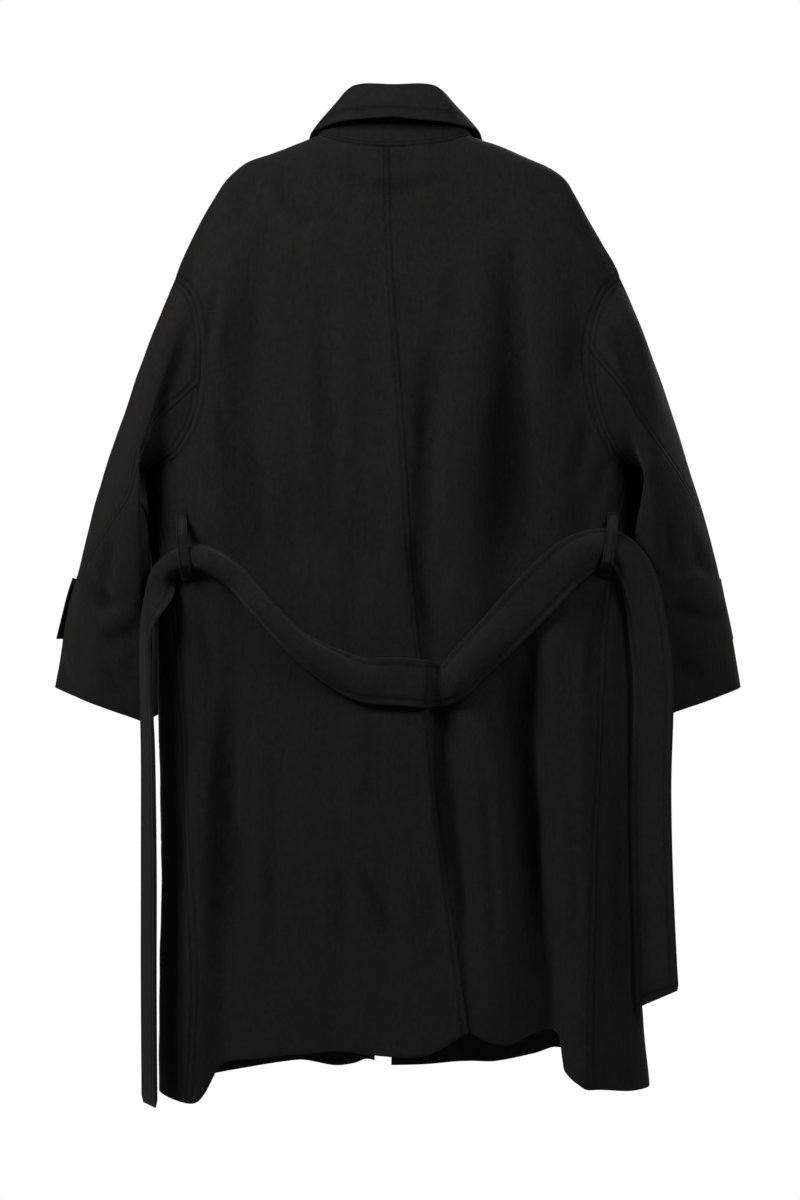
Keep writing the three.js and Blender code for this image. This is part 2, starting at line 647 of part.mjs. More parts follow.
// Belt: a doubled strip, cupped along its middle, whose rings clear the cloth behind them
function beltRing(share) {
  const last = BELT.length - 1;
  const rows = BELT.map((r, i) => ({ ...r, at: i / last }));
  const value = (key, at) => read(rows, "at", key, at);
  const spot = (at) => vec(value("x", at), 0, value("z", at));
  const middle = spot(share);
  const run = spot(Math.min(1, share + 0.004)).sub(spot(Math.max(0, share - 0.004))).normalize();
  const flat = vec(-run.z, 0, run.x);
  const turned = (degrees) => {
    const a = (degrees * Math.PI) / 180;
    const wide = flat.clone().multiplyScalar(Math.cos(a)).add(vec(0, -Math.sin(a), 0));
    const out = flat.clone().multiplyScalar(-Math.sin(a)).add(vec(0, -Math.cos(a), 0));
    return { wide, out };
  };
  const [lean, cup] = [value("lean", share), value("cup", share)];
  const [low, mid, high] = [lean - cup, lean, lean + cup].map(turned);
  const section = (out, j) => [
    middle.clone().addScaledVector(low.wide, -BELT_WIDTH / 2).addScaledVector(low.out, j * out),
    middle.clone().addScaledVector(mid.out, (j * out) / Math.cos((cup * Math.PI) / 180)),
    middle.clone().addScaledVector(high.wide, BELT_WIDTH / 2).addScaledVector(high.out, j * out),
  ];
  const ring = [...section(BELT_CLOTH / 2, -1), ...section(BELT_CLOTH / 2, 1).reverse()];
  const room = ring.map((p) => {
    const side = p.x < 0 ? LEFT : RIGHT;
    const reach = Math.min(Math.abs(p.x), 0.97 * halfWidth(side, p.z));
    return faceY(BACK, side * reach, p.z) - ventRise(LEFT, BACK, p.x, p.z) - p.y;
  });
  const shift = Math.min(...room) - CLEARANCE - value("off", share);
  return ring.map((p) => p.add(vec(0, shift, 0)));
}
const beltRings = Array.from({ length: BELT_STEPS + 1 }, (_, i) => beltRing(i / BELT_STEPS));
// The right end is cut on a slant
beltRings[BELT_STEPS].forEach((p, i) => {
  p.z += BELT_SLANT * [-1, 0, 1, 1, 0, -1][i];
});

// A tube of cloth through rings of points, closed at both ends
function stripGeometry(rings) {
  const positions = [];
  const face = (...points) => points.forEach((p) => positions.push(...p.toArray()));
  const count = rings[0].length;
  for (let i = 0; i < rings.length - 1; i += 1) {
    for (let k = 0; k < count; k += 1) {
      const next = (k + 1) % count;
      face(rings[i][k], rings[i][next], rings[i + 1][next]);
      face(rings[i][k], rings[i + 1][next], rings[i + 1][k]);
    }
  }
  const cap = (ring) => {
    for (let k = 0; k < count / 2 - 1; k += 1) {
      face(ring[k], ring[k + 1], ring[count - 2 - k]);
      face(ring[k], ring[count - 2 - k], ring[count - 1 - k]);
    }
  };
  cap([...rings[0]].reverse());
  cap(rings[rings.length - 1]);
  return new THREE.BufferGeometry().setAttribute("position", new THREE.Float32BufferAttribute(positions, 3));
}

// The outermost point of the belt where it passes under a loop
function beltCrest(x) {
  const near = beltRings.flat().filter((p) => Math.abs(p.x - x) < LOOP.width && p.z > LOOP.lowest);
  return Math.min(...near.map((p) => p.y));
}
function loopGeometry({ x, tilt, top, bottom }) {
  const crest = beltCrest(x) - LOOP.thick / 2 - CLEARANCE;
  const middles = Array.from({ length: LOOP.steps + 1 }, (_, i) => {
    const q = i / LOOP.steps;
    const z = mix(top, bottom, q);
    const across = x + tilt * (2 * q - 1);
    const rise = smooth(0.04, LOOP.over, q) * (1 - smooth(LOOP.under, 0.97, q));
    const cloth = [-1, 0, 1].map((k) => faceY(BACK, across + (k * LOOP.width) / 2, z));
    return vec(across, mix(Math.min(...cloth) - LOOP.thick / 2 - CLEARANCE, crest, rise), z);
  });
  const rings = middles.map((middle, i) => {
    const next = middles[Math.min(LOOP.steps, i + 1)];
    const run = next.clone().sub(middles[Math.max(0, i - 1)]).normalize();
    const wide = vec(-1, 0, 0);
    const out = run.clone().cross(wide).normalize();
    return [[-1, -1], [1, -1], [1, 1], [-1, 1]].map(([i2, j]) =>
      middle.clone().addScaledVector(wide, (i2 * LOOP.width) / 2).addScaledVector(out, (j * LOOP.thick) / 2),
    );
  });
  return stripGeometry(rings);
}

function strapGrid(side) {
  const grid = [];
  for (let r = 0; r <= STRAP.steps; r += 1) {
    const along = mix(STRAP.from, STRAP.to, r / STRAP.steps);
    const row = [];
    for (let c = 0; c <= STRAP.turns; c += 1) {
      const q = c / STRAP.turns;
      const angle = (mix(STRAP_START[sideName(side)], STRAP.end, q) * Math.PI) / 180;
      const at = (shift) => {
        const rows = Object.fromEntries(
          Object.keys(SLEEVE[0]).map((k) => [k, read(SLEEVE, "along", k, along)]),
        );
        return sleeveRingPoint(side, rows, angle + shift);
      };
      const p = at(0);
      const run = at(0.02).sub(at(-0.02)).normalize();
      const out = vec(side * Math.cos(angle), -Math.sin(angle), 0);
      out.addScaledVector(run, -out.dot(run)).normalize();
      const loose = (STRAP_LOOSE[sideName(side)] * r * (1 - smooth(0, 0.16, q))) / STRAP.steps;
      const stand = CLOTH + 3 * CLEARANCE + loose;
      row.push(p.addScaledVector(out, stand));
    }
    grid.push(row);
  }
  return grid;
}

// All pieces of cloth that meet at seams share their normals there, so that their edges are mitred
const axis = (x, z) => vec(x, 0, z);
const shell = [
  { name: "back_left", grid: facingOut(panelGrid(LEFT, BACK), axis(0, -600)) },
  { name: "back_right", grid: facingOut(withVentStrip(panelGrid(RIGHT, BACK)), axis(0, -600)) },
  { name: "front_left", grid: facingOut(panelGrid(LEFT, FRONT), axis(0, -600)) },
  { name: "front_right", grid: facingOut(panelGrid(RIGHT, FRONT), axis(0, -600)) },
  { name: "sleeve_upper_left", grid: facingOut(sleeveGrid(LEFT, "upper"), axis(-340, -420)) },
  { name: "sleeve_upper_right", grid: facingOut(sleeveGrid(RIGHT, "upper"), axis(340, -420)) },
  { name: "sleeve_under_left", grid: facingOut(sleeveGrid(LEFT, "under"), axis(-366, -500)) },
  { name: "sleeve_under_right", grid: facingOut(sleeveGrid(RIGHT, "under"), axis(366, -500)) },
  { name: "collar_stand", grid: facingOut(standGrid(), axis(0, 20)) },
];
const shared = new Map();
for (const piece of shell) {
  piece.normals = gridNormals(piece.grid);
  piece.grid.forEach((row, r) =>
    row.forEach((p, c) => {
      if (!p) return;
      const key = keyOf(p);
      if (!shared.has(key)) shared.set(key, vec(0, 0, 0));
      shared.get(key).add(piece.normals[r][c].clone().normalize());
    }),
  );
}
for (const piece of shell) {
  piece.normals = piece.grid.map((row) => row.map((p) => p && shared.get(keyOf(p)).clone().normalize()));
}
const alone = [
  { name: "collar_fall", grid: facingOut(fallGrid(), axis(0, 0)), thick: CLOTH },
  { name: "sleeve_strap_left", grid: facingOut(strapGrid(LEFT), axis(-370, -560)), thick: CLOTH },
  { name: "sleeve_strap_right", grid: facingOut(strapGrid(RIGHT), axis(370, -560)), thick: CLOTH },
];
for (const piece of alone) {
  piece.normals = gridNormals(piece.grid).map((row) => row.map((n) => n.normalize()));
}

const coat = new THREE.Group();
function add(name, geometry) {
  const mesh = new THREE.Mesh(geometry, new THREE.MeshStandardMaterial(COAT));
  mesh.name = name;
  coat.add(mesh);
}
for (const { name, grid, normals } of [...shell, ...alone]) {
  add(name, wallGeometry(grid, normals, CLOTH, SEAM_RETREAT));
}
add("belt", stripGeometry(beltRings));
for (const loop of LOOPS) add(`belt_loop_${sideName(loop.side)}`, loopGeometry(loop));

export default coat;
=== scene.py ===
# The looks of a belted wool overcoat, hanging filled out with nobody in it.
# Millimetres until each mesh is made, then metres. -Y points out of the coat's back and +Z up.
import math

import bpy
import numpy as np
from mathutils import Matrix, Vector


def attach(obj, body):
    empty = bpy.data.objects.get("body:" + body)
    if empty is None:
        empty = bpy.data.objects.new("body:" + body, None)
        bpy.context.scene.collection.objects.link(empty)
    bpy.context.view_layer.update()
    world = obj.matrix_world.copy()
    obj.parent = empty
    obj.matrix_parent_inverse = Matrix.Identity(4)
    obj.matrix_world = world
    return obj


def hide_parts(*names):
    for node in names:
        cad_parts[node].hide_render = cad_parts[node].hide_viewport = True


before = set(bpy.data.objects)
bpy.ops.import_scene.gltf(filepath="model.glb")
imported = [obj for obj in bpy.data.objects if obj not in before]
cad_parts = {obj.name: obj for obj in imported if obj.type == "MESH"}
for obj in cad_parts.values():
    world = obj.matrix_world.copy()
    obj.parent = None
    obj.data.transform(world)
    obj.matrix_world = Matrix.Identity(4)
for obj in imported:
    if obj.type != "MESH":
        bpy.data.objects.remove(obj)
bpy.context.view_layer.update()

MM = 0.001
CLOTH = 2.6
BELT_CLOTH = 5.0
CLEARANCE = 0.35
SEAM_OVERLAP = 0.15  # each piece goes this far past its seam, so that no light gets through
SQUARENESS = 2.3  # 2 would make the body's section an ellipse
LEFT, RIGHT = -1, 1
BACK, FRONT = -1, 1

NECK_COLUMNS = 4
COLUMNS = 15
SIDE_ROWS = 17
ARMHOLE_ROWS = 12
ROWS = SIDE_ROWS + ARMHOLE_ROWS
SPLIT = SIDE_ROWS / ROWS
NECK_SPLIT = NECK_COLUMNS / COLUMNS
CROWDING = 0.45
VENT_ROWS = 11
VENT_STRIP = 40
VENT_STEPS = 12
VENT_RISE = {"height": 6, "from": -650, "to": -696, "reach": 55, "fade": 60}
FOLD_FADE = 150
SHOULDER_TOP, SHOULDER_POINT = 16.0, -163.0
NECK_DROP = {BACK: 19, FRONT: 86}
NECK_BEND = {BACK: 1.4, FRONT: 1.3}
HEM_MIDDLE, HEM_SIDE = -1110, -1165
SEAM_LEAD = 97  # places along a row where its length is measured
PAINTED_SHADE_DEPTH = 8  # a trough this deep gets the full painted shade in the cloth colour
# How far the rows of stitches lie from the edge or seam beside them
STITCH = {"front": 7, "back": 6.5, "side": 8, "sleeve": 7, "strap": 7, "stand": 4, "fall": 13, "belt": 9, "loop": 2.6}
DARKEST = (0.0040, 0.0037, 0.0037)
LIGHTEST = (0.0158, 0.0148, 0.0146)
AMBIENT = 0.035
FLOOR_Z = -1.75
FLOOR_REACH = 1.9

FINE = 7  # cells across each cell of the solid
SLEEVE_FINE = 10  # the same along a sleeve


class Table:
    """Named columns read as smooth curves, as the solids read theirs."""

    def __init__(self, columns, rows):
        self.columns = {k: np.array([r[i] for r in rows], float) for i, k in enumerate(columns.split())}
        self.by = columns.split()[0]

    def read(self, key, at):
        return smooth_curve(self.columns[self.by], self.columns[key], np.asarray(at, float))


def smooth_curve(knots, values, at):
    """The values that stand at the knots, read smoothly at each of at."""
    sign = np.sign(knots[-1] - knots[0])
    i = np.clip(np.searchsorted(sign * knots, sign * at, side="left") - 1, 0, len(knots) - 2)
    k = np.arange(len(knots))
    before, after = np.maximum(0, k - 1), np.minimum(len(knots) - 1, k + 1)
    deep = (..., *[None] * (values.ndim - 1))
    slope = (values[after] - values[before]) / (knots[after] - knots[before])[deep]
    span = (knots[i + 1] - knots[i])[deep]
    q = np.clip((at - knots[i])[deep] / span, 0, 1)
    q2, q3 = q * q, q * q * q
    return (
        (2 * q3 - 3 * q2 + 1) * values[i]
        + (q3 - 2 * q2 + q) * span * slope[i]
        + (3 * q2 - 2 * q3) * values[i + 1]
        + (q3 - q2) * span * slope[i + 1]
    )


def side_name(side):
    return "left" if side == LEFT else "right"


def mix(a, b, t):
    return a + (b - a) * t


def smooth(start, end, at):
    q = np.clip((at - start) / (end - start), 0, 1)
    return q * q * (3 - 2 * q)


BODY = Table("z left right back front", [
    (-1200, 301, 318, 128, 124),
    (-1075, 301, 306, 126, 122),
    (-900, 298, 300, 122, 118),
    (-720, 302, 298, 118, 114),
    (-560, 308, 295, 114, 110),
    (-404, 316, 293, 110, 104),
    (-280, 305, 291, 102, 94),
    (-163, 282, 279, 86, 80),
    (-120, 264, 258, 78, 74),
    (-87, 246, 239, 71, 68),
    (-55, 228, 222, 64, 62),
    (-36, 214, 210, 61, 60),
    (-20, 193, 186, 59, 57),
    (-11, 172, 166, 58, 56),
    (2, 138, 134, 55, 53),
    (16, 101, 93, 52, 50),
])
MIDDLE_BACK = Table("z x", [(-1110, 87), (-877, 57), (-698, 36), (-568, 22), (-346, 7), (-148, -7), (0, -11)])
FRONT_EDGE = Table("z left right", [(-1200, -31, -9), (-700, -20, -6), (-70, -7, -2)])
SIDE_SEAM = Table("z left right", [
    (-1200, 0.87, 0.76),
    (-1043, 0.85, 0.79),
    (-843, 0.885, 0.823),
    (-700, 0.9, 0.855),
    (-570, 0.925, 0.89),
    (-468, 0.96, 0.945),
    (-400, 1, 1),
])
ARMHOLE = Table("along z left right", [
    (0, -163, 282, 279),
    (0.187, -193, 255, 254),
    (0.33, -240, 245, 239),
    (0.482, -292, 245, 239),
    (0.63, -342, 253, 250),
    (0.757, -379, 273, 267),
    (0.84, -392, 290, 278),
    (0.913, -399, 307, 287),
    (1, -405, 316, 293),
])
HEM = {
    BACK: Table("x z", [
        (-300, -1180),
        (-272, -1201),
        (-248, -1176),
        (-224, -1146),
        (-185, -1134),
        (-98, -1123),
        (-72, -1121),
        (2, -1128),
        (36, -1125),
        (61, -1113),
        (86, -1099),
        (106, -1108),
        (136, -1114),
        (170, -1104),
        (198, -1105),
        (205, -1150),
        (258, -1176),
        (310, -1186),
    ]),
    FRONT: Table("x z", [
        (-330, -1190),
        (-240, -1176),
        (-133, -1162),
        (-83, -1171),
        (-57, -1168),
        (-39, -1162),
        (-13, -1170),
        (96, -1165),
        (126, -1164),
        (176, -1151),
        (205, -1143),
        (250, -1158),
        (330, -1184),
    ]),
}
# Main folds, as the solids have them: face, top, x there, bottom, x there, depth, widths of both sides
FOLDS = [
    (BACK, -540, 149, -1300, 197, -37, 28, 21),
    (BACK, -590, 226, -1300, 232, 20, 30, 46),
    (BACK, -620, 100, -1300, 122, 8, 30, 34),
    (BACK, -440, 38, -780, 52, -10, 17, 24),
    (BACK, -590, 34, -1060, 92, -22, 10, 22),
    (BACK, -590, -198, -1300, -222, -24, 22, 28),
    (BACK, -700, -266, -1300, -264, 9, 28, 28),
    (BACK, -200, 42, -640, 38, -9, 18, 20),
    (BACK, -200, -38, -640, -48, -6, 20, 22),
    (BACK, -130, -124, -620, -112, -5, 34, 30),
    (BACK, -120, 140, -560, 136, -13, 22, 22),
    (BACK, -320, 124, -820, 132, -16, 34, 26),
    (BACK, -120, -198, -640, -188, -15, 24, 24),
    (BACK, -190, 222, -640, 236, -6, 26, 26),
    (BACK, -700, -60, -1300, -30, 7, 44, 40),
    (FRONT, -420, -150, -1300, -182, -11, 34, 34),
    (FRONT, -380, 150, -1300, 176, -12, 34, 36),
    (FRONT, -560, -80, -1300, -92, 10, 34, 34),
    (FRONT, -520, 76, -1300, 84, 9, 34, 36),
    (FRONT, -240, -205, -900, -236, -9, 30, 30),
    (FRONT, -220, 200, -880, 232, -9, 30, 30),
]


def half_width(side, z):
    return BODY.read(side_name(side), z)


def width_at(x, z):
    return np.where(x < 0, half_width(LEFT, z), half_width(RIGHT, z))


def fold_depth(face, x, z, share):
    total = np.zeros(np.broadcast(x, z).shape)
    for on, top, x_top, bottom, x_bottom, depth, left, right in FOLDS:
        here = on == face
        if not np.any(here):
            continue
        along = smooth(top, top - FOLD_FADE, z) * smooth(bottom, bottom + FOLD_FADE, z)
        across = x - mix(x_top, x_bottom, (z - top) / (bottom - top))
        total = total + here * depth * along * np.exp(-((across / np.where(across < 0, left, right)) ** 2))
    return total * (1 - share**10)


def face_y(face, x, z):
    share = np.minimum(1, np.abs(x) / width_at(x, z))
    depth = np.where(face == BACK, BODY.read("back", z), BODY.read("front", z))
    curve = (1 - share**SQUARENESS) ** (1 / SQUARENESS)
    return face * (depth * curve + fold_depth(face, x, z, share))


def body_point(side, face, u, z):
    u, z = np.broadcast_arrays(np.asarray(u, float), np.asarray(z, float))
    wide = half_width(side, z)
    past = side * u > wide
    x = np.where(past, side * (2 * wide - side * u), u)
    return np.stack([x, face_y(np.where(past, -face, face), x, z), z], -1)


def armhole_share(row):
    q = row / ARMHOLE_ROWS
    return q - CROWDING * np.sin(2 * np.pi * q) / (2 * np.pi)


def row_share(row):
    row = np.asarray(row, float)
    return np.where(row <= SIDE_ROWS, row / ROWS, 1 - (1 - SPLIT) * armhole_share(ROWS - row))


def armhole(side, along):
    z = ARMHOLE.read("z", along)
    return side * np.minimum(half_width(side, z), ARMHOLE.read(side_name(side), along)), z


def seam_across(side, z):
    return side * half_width(side, z) * SIDE_SEAM.read(side_name(side), z)


def outer_edge(side, face, t, hem_z):
    top_u, top_z = armhole(side, np.clip(1 - (t - SPLIT) / (1 - SPLIT), 0, 1))
    foot_z = armhole(side, 1.0)[1]
    z = mix(hem_z, foot_z, np.minimum(1, t / SPLIT))
    u = seam_across(side, z)
    if face == FRONT:
        u = side * 2 * half_width(side, z) - u
    high = t > SPLIT
    return np.where(high, top_u, u), np.where(high, top_z, z)


def shoulder(side, q):
    z = mix(SHOULDER_TOP, SHOULDER_POINT, np.clip(q, 0, 1) ** 1.5)
    return side * half_width(side, z), z


def inner_x(side, face, z):
    return MIDDLE_BACK.read("x", z) if face == BACK else FRONT_EDGE.read(side_name(side), z)


def neck(side, face, q):
    end_x, end_z = (float(v) for v in shoulder(side, 0.0))
    turn = np.asarray(q, float) * np.pi / 2
    drop = NECK_DROP[face]
    z = end_z - drop * np.clip(np.cos(turn), 0, 1) ** NECK_BEND[face]
    if face == BACK:
        return mix(float(MIDDLE_BACK.read("x", 0)), end_x, np.sin(turn)), z
    return mix(float(inner_x(side, FRONT, end_z - drop)), end_x, np.sin(turn) ** 0.95), z


def panel_spot(side, face, s, t):
    s, t = np.broadcast_arrays(np.asarray(s, float), np.asarray(t, float))
    hem = HEM[face]

    def top(v):
        n = neck(side, face, np.clip(v / NECK_SPLIT, 0, 1))
        m = shoulder(side, (v - NECK_SPLIT) / (1 - NECK_SPLIT))
        return [np.where(v <= NECK_SPLIT, n[k], m[k]) for k in (0, 1)]

    neck_z = float(neck(side, face, 0.0)[1])
    hem_inner = float(hem.read("z", inner_x(side, face, HEM_MIDDLE)))
    side_hem = float(HEM[BACK].read("z", seam_across(side, HEM_SIDE)))

    def inner(v):
        z = mix(hem_inner, neck_z, v)
        return inner_x(side, face, z), z

    def outer(v):
        return outer_edge(side, face, v, side_hem)

    ends = [[float(k) for k in e(v)] for e, v in ((inner, 0.0), (outer, np.array(0.0)))]
    tops = [[float(k) for k in e] for e in (inner(1.0), outer(np.array(1.0)))]

    def bottom(v):
        u = mix(ends[0][0], ends[1][0], v)
        edge = float(half_width(side, HEM_SIDE))
        free = side * u < edge if face == FRONT else np.full(u.shape, True)
        z = hem.read("z", np.where(free, u, side * edge))
        return u, mix(z, side_hem, smooth(0.86, 1, v))

    pull = s * s
    low, high, near, far = bottom(s), top(s), inner(t), outer(t)
    spot = []
    for k in (0, 1):
        edges = mix(low[k], high[k], t) + mix(near[k], far[k], pull)
        corner = mix(mix(ends[0][k], ends[1][k], pull), mix(tops[0][k], tops[1][k], pull), t)
        spot.append(edges - corner)
    return spot


def vent_rise(side, face, x, z):
    if face != BACK or side != LEFT:
        return np.zeros(x.shape)
    across = np.abs(MIDDLE_BACK.read("x", z) - x)
    low = smooth(VENT_RISE["from"], VENT_RISE["to"], z)
    near = 1 - smooth(VENT_RISE["reach"], VENT_RISE["reach"] + VENT_RISE["fade"], across)
    return VENT_RISE["height"] * low * near


def panel_point(side, face, s, t):
    u, z = panel_spot(side, face, s, t)
    p = body_point(side, face, u, z)
    p[..., 1] -= vent_rise(side, face, p[..., 0], z)
    return p


def run_along(p):
    """Length from the first column of each row."""
    step = np.linalg.norm(np.diff(p, axis=1), axis=2)
    return np.concatenate([np.zeros((len(p), 1)), np.cumsum(step, 1)], 1)


def panel_grid(side, face):
    rows = np.linspace(0, ROWS, ROWS * FINE + 1)
    t = row_share(rows)[:, None]
    fine = np.linspace(0, 1, SEAM_LEAD)[None, :]
    run = run_along(panel_point(side, face, fine, t))
    even = np.linspace(0, 1, COLUMNS * FINE + 1)
    shares = np.array([np.interp(even * r[-1], r, fine[0]) for r in run])
    keep = smooth(0.55, 0.9, t)
    return panel_point(side, face, mix(shares, even[None, :], keep), t), rows


def with_vent_strip(grid, rows):
    out = np.full((len(grid), len(grid[0]) + VENT_STEPS, 3), np.nan)
    out[:, VENT_STEPS:] = grid
    low = rows <= VENT_ROWS
    for k in range(VENT_STEPS):
        x = grid[low, 0, 0] - VENT_STRIP * (VENT_STEPS - k) / VENT_STEPS
        z = grid[low, 0, 2]
        out[low, k] = np.stack([x, face_y(BACK, x, z), z], -1)
    return out


SLEEVE = Table("along outX outZ inLeft inRight inZ middle depth bow turn tuck", [
    (0.05, 291, -188, 335, 311, -411, 0, 84, 28, 0, 0),
    (0.16, 312, -240, 332, 311, -434, 2, 88, 14, 10, 16),
    (0.3, 341, -314, 317, 299, -462, 6, 88, 4, 32, 34),
    (0.45, 368, -390, 312, 295, -498, 14, 82, 0, 44, 46),
    (0.62, 397, -480, 310, 299, -552, 24, 72, 0, 46, 60),
    (0.78, 419, -566, 309, 300, -616, 34, 62, 0, 42, 70),
    (0.9, 431, -628, 309, 300, -674, 40, 56, 0, 38, 72),
    (1, 440, -680, 310, 300, -725, 44, 52, 0, 34, 70),
])
SLEEVE_SEAMS = Table("along left right front", [
    (0.05, 118, 92, -96),
    (0.16, 120, 92, -96),
    (0.3, 105, 79, -96),
    (0.45, 93, 56, -98),
    (0.62, 59, 24, -100),
    (0.78, 18, 0, -102),
    (1, 6, -12, -104),
])
BACK_SEAM_ROW = {LEFT: 6, RIGHT: 5}
FRONT_SEAM_ROW = 6
SLEEVE_RINGS = 15


def sleeve_angle(side, part, along, share):
    back = SLEEVE_SEAMS.read(side_name(side), along)
    front = SLEEVE_SEAMS.read("front", along)
    start, end = (front, back) if part == "upper" else (back, 360 + front)
    return np.radians(mix(start, end, share))


def sleeve_ring(side, row, angle):
    out_x, out_z = row["outX"], row["outZ"]
    in_x, in_z = row["inLeft" if side == LEFT else "inRight"], row["inZ"]
    mid_x, mid_z = (out_x + in_x) / 2, (out_z + in_z) / 2
    front = np.maximum(0, -np.sin(angle)) ** 4
    x = mid_x + (out_x - mid_x) * np.cos(angle) - row["bow"] * np.sin(angle) ** 2 - row["tuck"] * front
    z = mid_z + (out_z - mid_z) * np.cos(angle)
    y = row["middle"] - row["depth"] * np.sin(angle) + row["turn"] * np.cos(angle)
    return np.stack(np.broadcast_arrays(side * x, y, z), -1)


def armhole_loop(side, c):
    """Points of the armhole, counted in rows from the shoulder point towards the back and round."""
    c = np.mod(c, 2 * ARMHOLE_ROWS)
    back = c <= ARMHOLE_ROWS
    i = np.where(back, c, 2 * ARMHOLE_ROWS - c)
    u, z = armhole(side, armhole_share(i))
    return np.where(back[:, None], body_point(side, BACK, u, z), body_point(side, FRONT, u, z))


def sleeve_grid(side, part):
    back_row = BACK_SEAM_ROW[side]
    start = -FRONT_SEAM_ROW if part == "upper" else back_row
    end = back_row if part == "upper" else 2 * ARMHOLE_ROWS - FRONT_SEAM_ROW
    steps = (end - start) * FINE
    share = np.linspace(0, 1, steps + 1)
    alongs = SLEEVE.columns["along"]
    values = [armhole_loop(side, mix(start, end, share))]
    for i, along in enumerate(alongs):
        row = {k: v[i] for k, v in SLEEVE.columns.items()}
        values.append(sleeve_ring(side, row, sleeve_angle(side, part, along, share)))
    rings = np.linspace(0, 1, SLEEVE_RINGS * SLEEVE_FINE + 1)
    return smooth_curve(np.concatenate([[0], alongs]), np.array(values), rings)


COLLAR = Table("round rollX rollY rollZ edgeX edgeY edgeZ", [
    (0, 0, -52, 69, 0, -76, 31),
    (0.5, 45, -42, 70, 66, -60, 27),
    (0.75, 62, -24, 59, 90, -34, 24),
    (1, 73, 4, 43, 107, 4, 21),
    (1.25, 72, 32, 22, 112, 50, -2),
    (1.5, 60, 54, -2, 104, 74, -44),
    (2, 12, 80, -44, 62, 96, -108),
])
ROLL_RADIUS = 2.6


def neck_seam():
    """Side, face and share of each point round the neck, from the left front to the right front."""
    q = np.linspace(0, 1, NECK_COLUMNS * FINE + 1)
    parts = [(LEFT, FRONT, q), (LEFT, BACK, q[::-1][1:]), (RIGHT, BACK, q[1:]), (RIGHT, FRONT, q[::-1][1:])]
    points, rounds, sides = [], [], []
    for side, face, share in parts:
        points.append(body_point(side, face, *neck(side, face, share)))
        rounds.append(share if face == BACK else 2 - share)
        sides.append(np.full(share.shape, side))
    return np.concatenate(points), np.concatenate(rounds), np.concatenate(sides)


def collar_line(name, rounds, sides):
    x, y, z = (COLLAR.read(name + k, rounds) for k in "XYZ")
    return np.stack([-5 * np.cos(rounds * np.pi / 4) + sides * x, y, z], -1)


def stand_grid():
    foot, rounds, sides = neck_seam()
    roll = collar_line("roll", rounds, sides) - [0, 0, 1.6]
    foot = foot + [0, 0, 0.3]
    q = np.linspace(0, 1, 14)[:, None, None]
    return mix(foot[None], roll[None], q)


def fall_grid():
    foot, rounds, sides = neck_seam()
    roll = collar_line("roll", rounds, sides)
    edge = collar_line("edge", rounds, sides)
    run = np.gradient(roll, axis=0)
    run[:, 2] = 0
    run /= np.linalg.norm(run, axis=1)[:, None]
    out = np.stack([run[:, 1], -run[:, 0], np.zeros(len(run))], -1)
    out *= np.sign((out[:, :2] * roll[:, :2]).sum(1))[:, None]
    up = np.array([0, 0, 1.0])
    centre = roll + out * ROLL_RADIUS + up * 0.2
    reach = ROLL_RADIUS + CLOTH
    rows = []
    for degrees in np.linspace(180, 30, 9):
        a = math.radians(degrees)
        rows.append(centre + out * reach * math.cos(a) + up * reach * math.sin(a))
    start = rows[-1]
    for q in np.linspace(0, 1, 24)[1:]:
        rows.append(mix(start, edge, q) + out * 2.5 * math.sin(q * math.pi))
    return np.array(rows)


BELT_WIDTH = 60
BELT_SLANT = 12
BELT_TIP = 1 / 104  # share of the length that its slanted end takes
BELT_RINGS = 420
# Evenly spread along the belt, from its left end to its right one
BELT_ROWS = [
    (-308, -1194, 4, -70, 0),
    (-309, -1050, 4, -70, 0),
    (-309, -900, 4, -70, 0),
    (-310, -760, 6, -72, 0),
    (-313, -660, 8, -74, 0),
    (-312, -594, 10, -70, -6),
    (-298, -536, 7, -24, -58),
    (-267, -517, 3, -2, -62),
    (-240, -517, 3, 0, -62),
    (-204, -537, 4, 0, -64),
    (-172, -571, 5, 0, -66),
    (-128, -617, 6, 0, -62),
    (-88, -645, 6, 0, -48),
    (-45, -665, 6, 0, -28),
    (2, -668, 5, 0, -6),
    (39, -671, 5, 0, -18),
    (64, -669, 5, 0, -36),
    (88, -645, 5, 0, -32),
    (124, -609, 5, 0, -24),
    (169, -563, 5, 0, -6),
    (211, -522, 4, 2, -20),
    (250, -503, 3, 4, -44),
    (276, -514, 5, 14, -46),
    (297, -560, 12, 38, -24),
    (311, -620, 14, 40, -4),
    (317, -690, 12, 40, 0),
    (314, -800, 8, 38, 0),
    (316, -920, 8, 36, 0),
    (322, -1064, 8, 32, 0),
]
BELT = Table("at x z off lean cup", [(i / (len(BELT_ROWS) - 1), *row) for i, row in enumerate(BELT_ROWS)])
LOOP = {"width": 14, "thick": 3, "over": 0.36, "under": 0.75, "lowest": -560}
LOOPS = {LEFT: (-265, 4, -459, -544), RIGHT: (262, -6, -459, -539)}
STRAP = {"from": 0.73, "to": 0.88, "end": -70}
STRAP_START = {LEFT: 8, RIGHT: -12}
STRAP_LOOSE = {LEFT: 5, RIGHT: 0.4}

# Where the camera of the first view stands, and what one pixel of its 800 by 1200 frame spans
PIXEL = 1.235
PLANE_Y = -90
CENTRE_X, CENTRE_Z = 2.5, -568
AWAY = 4400

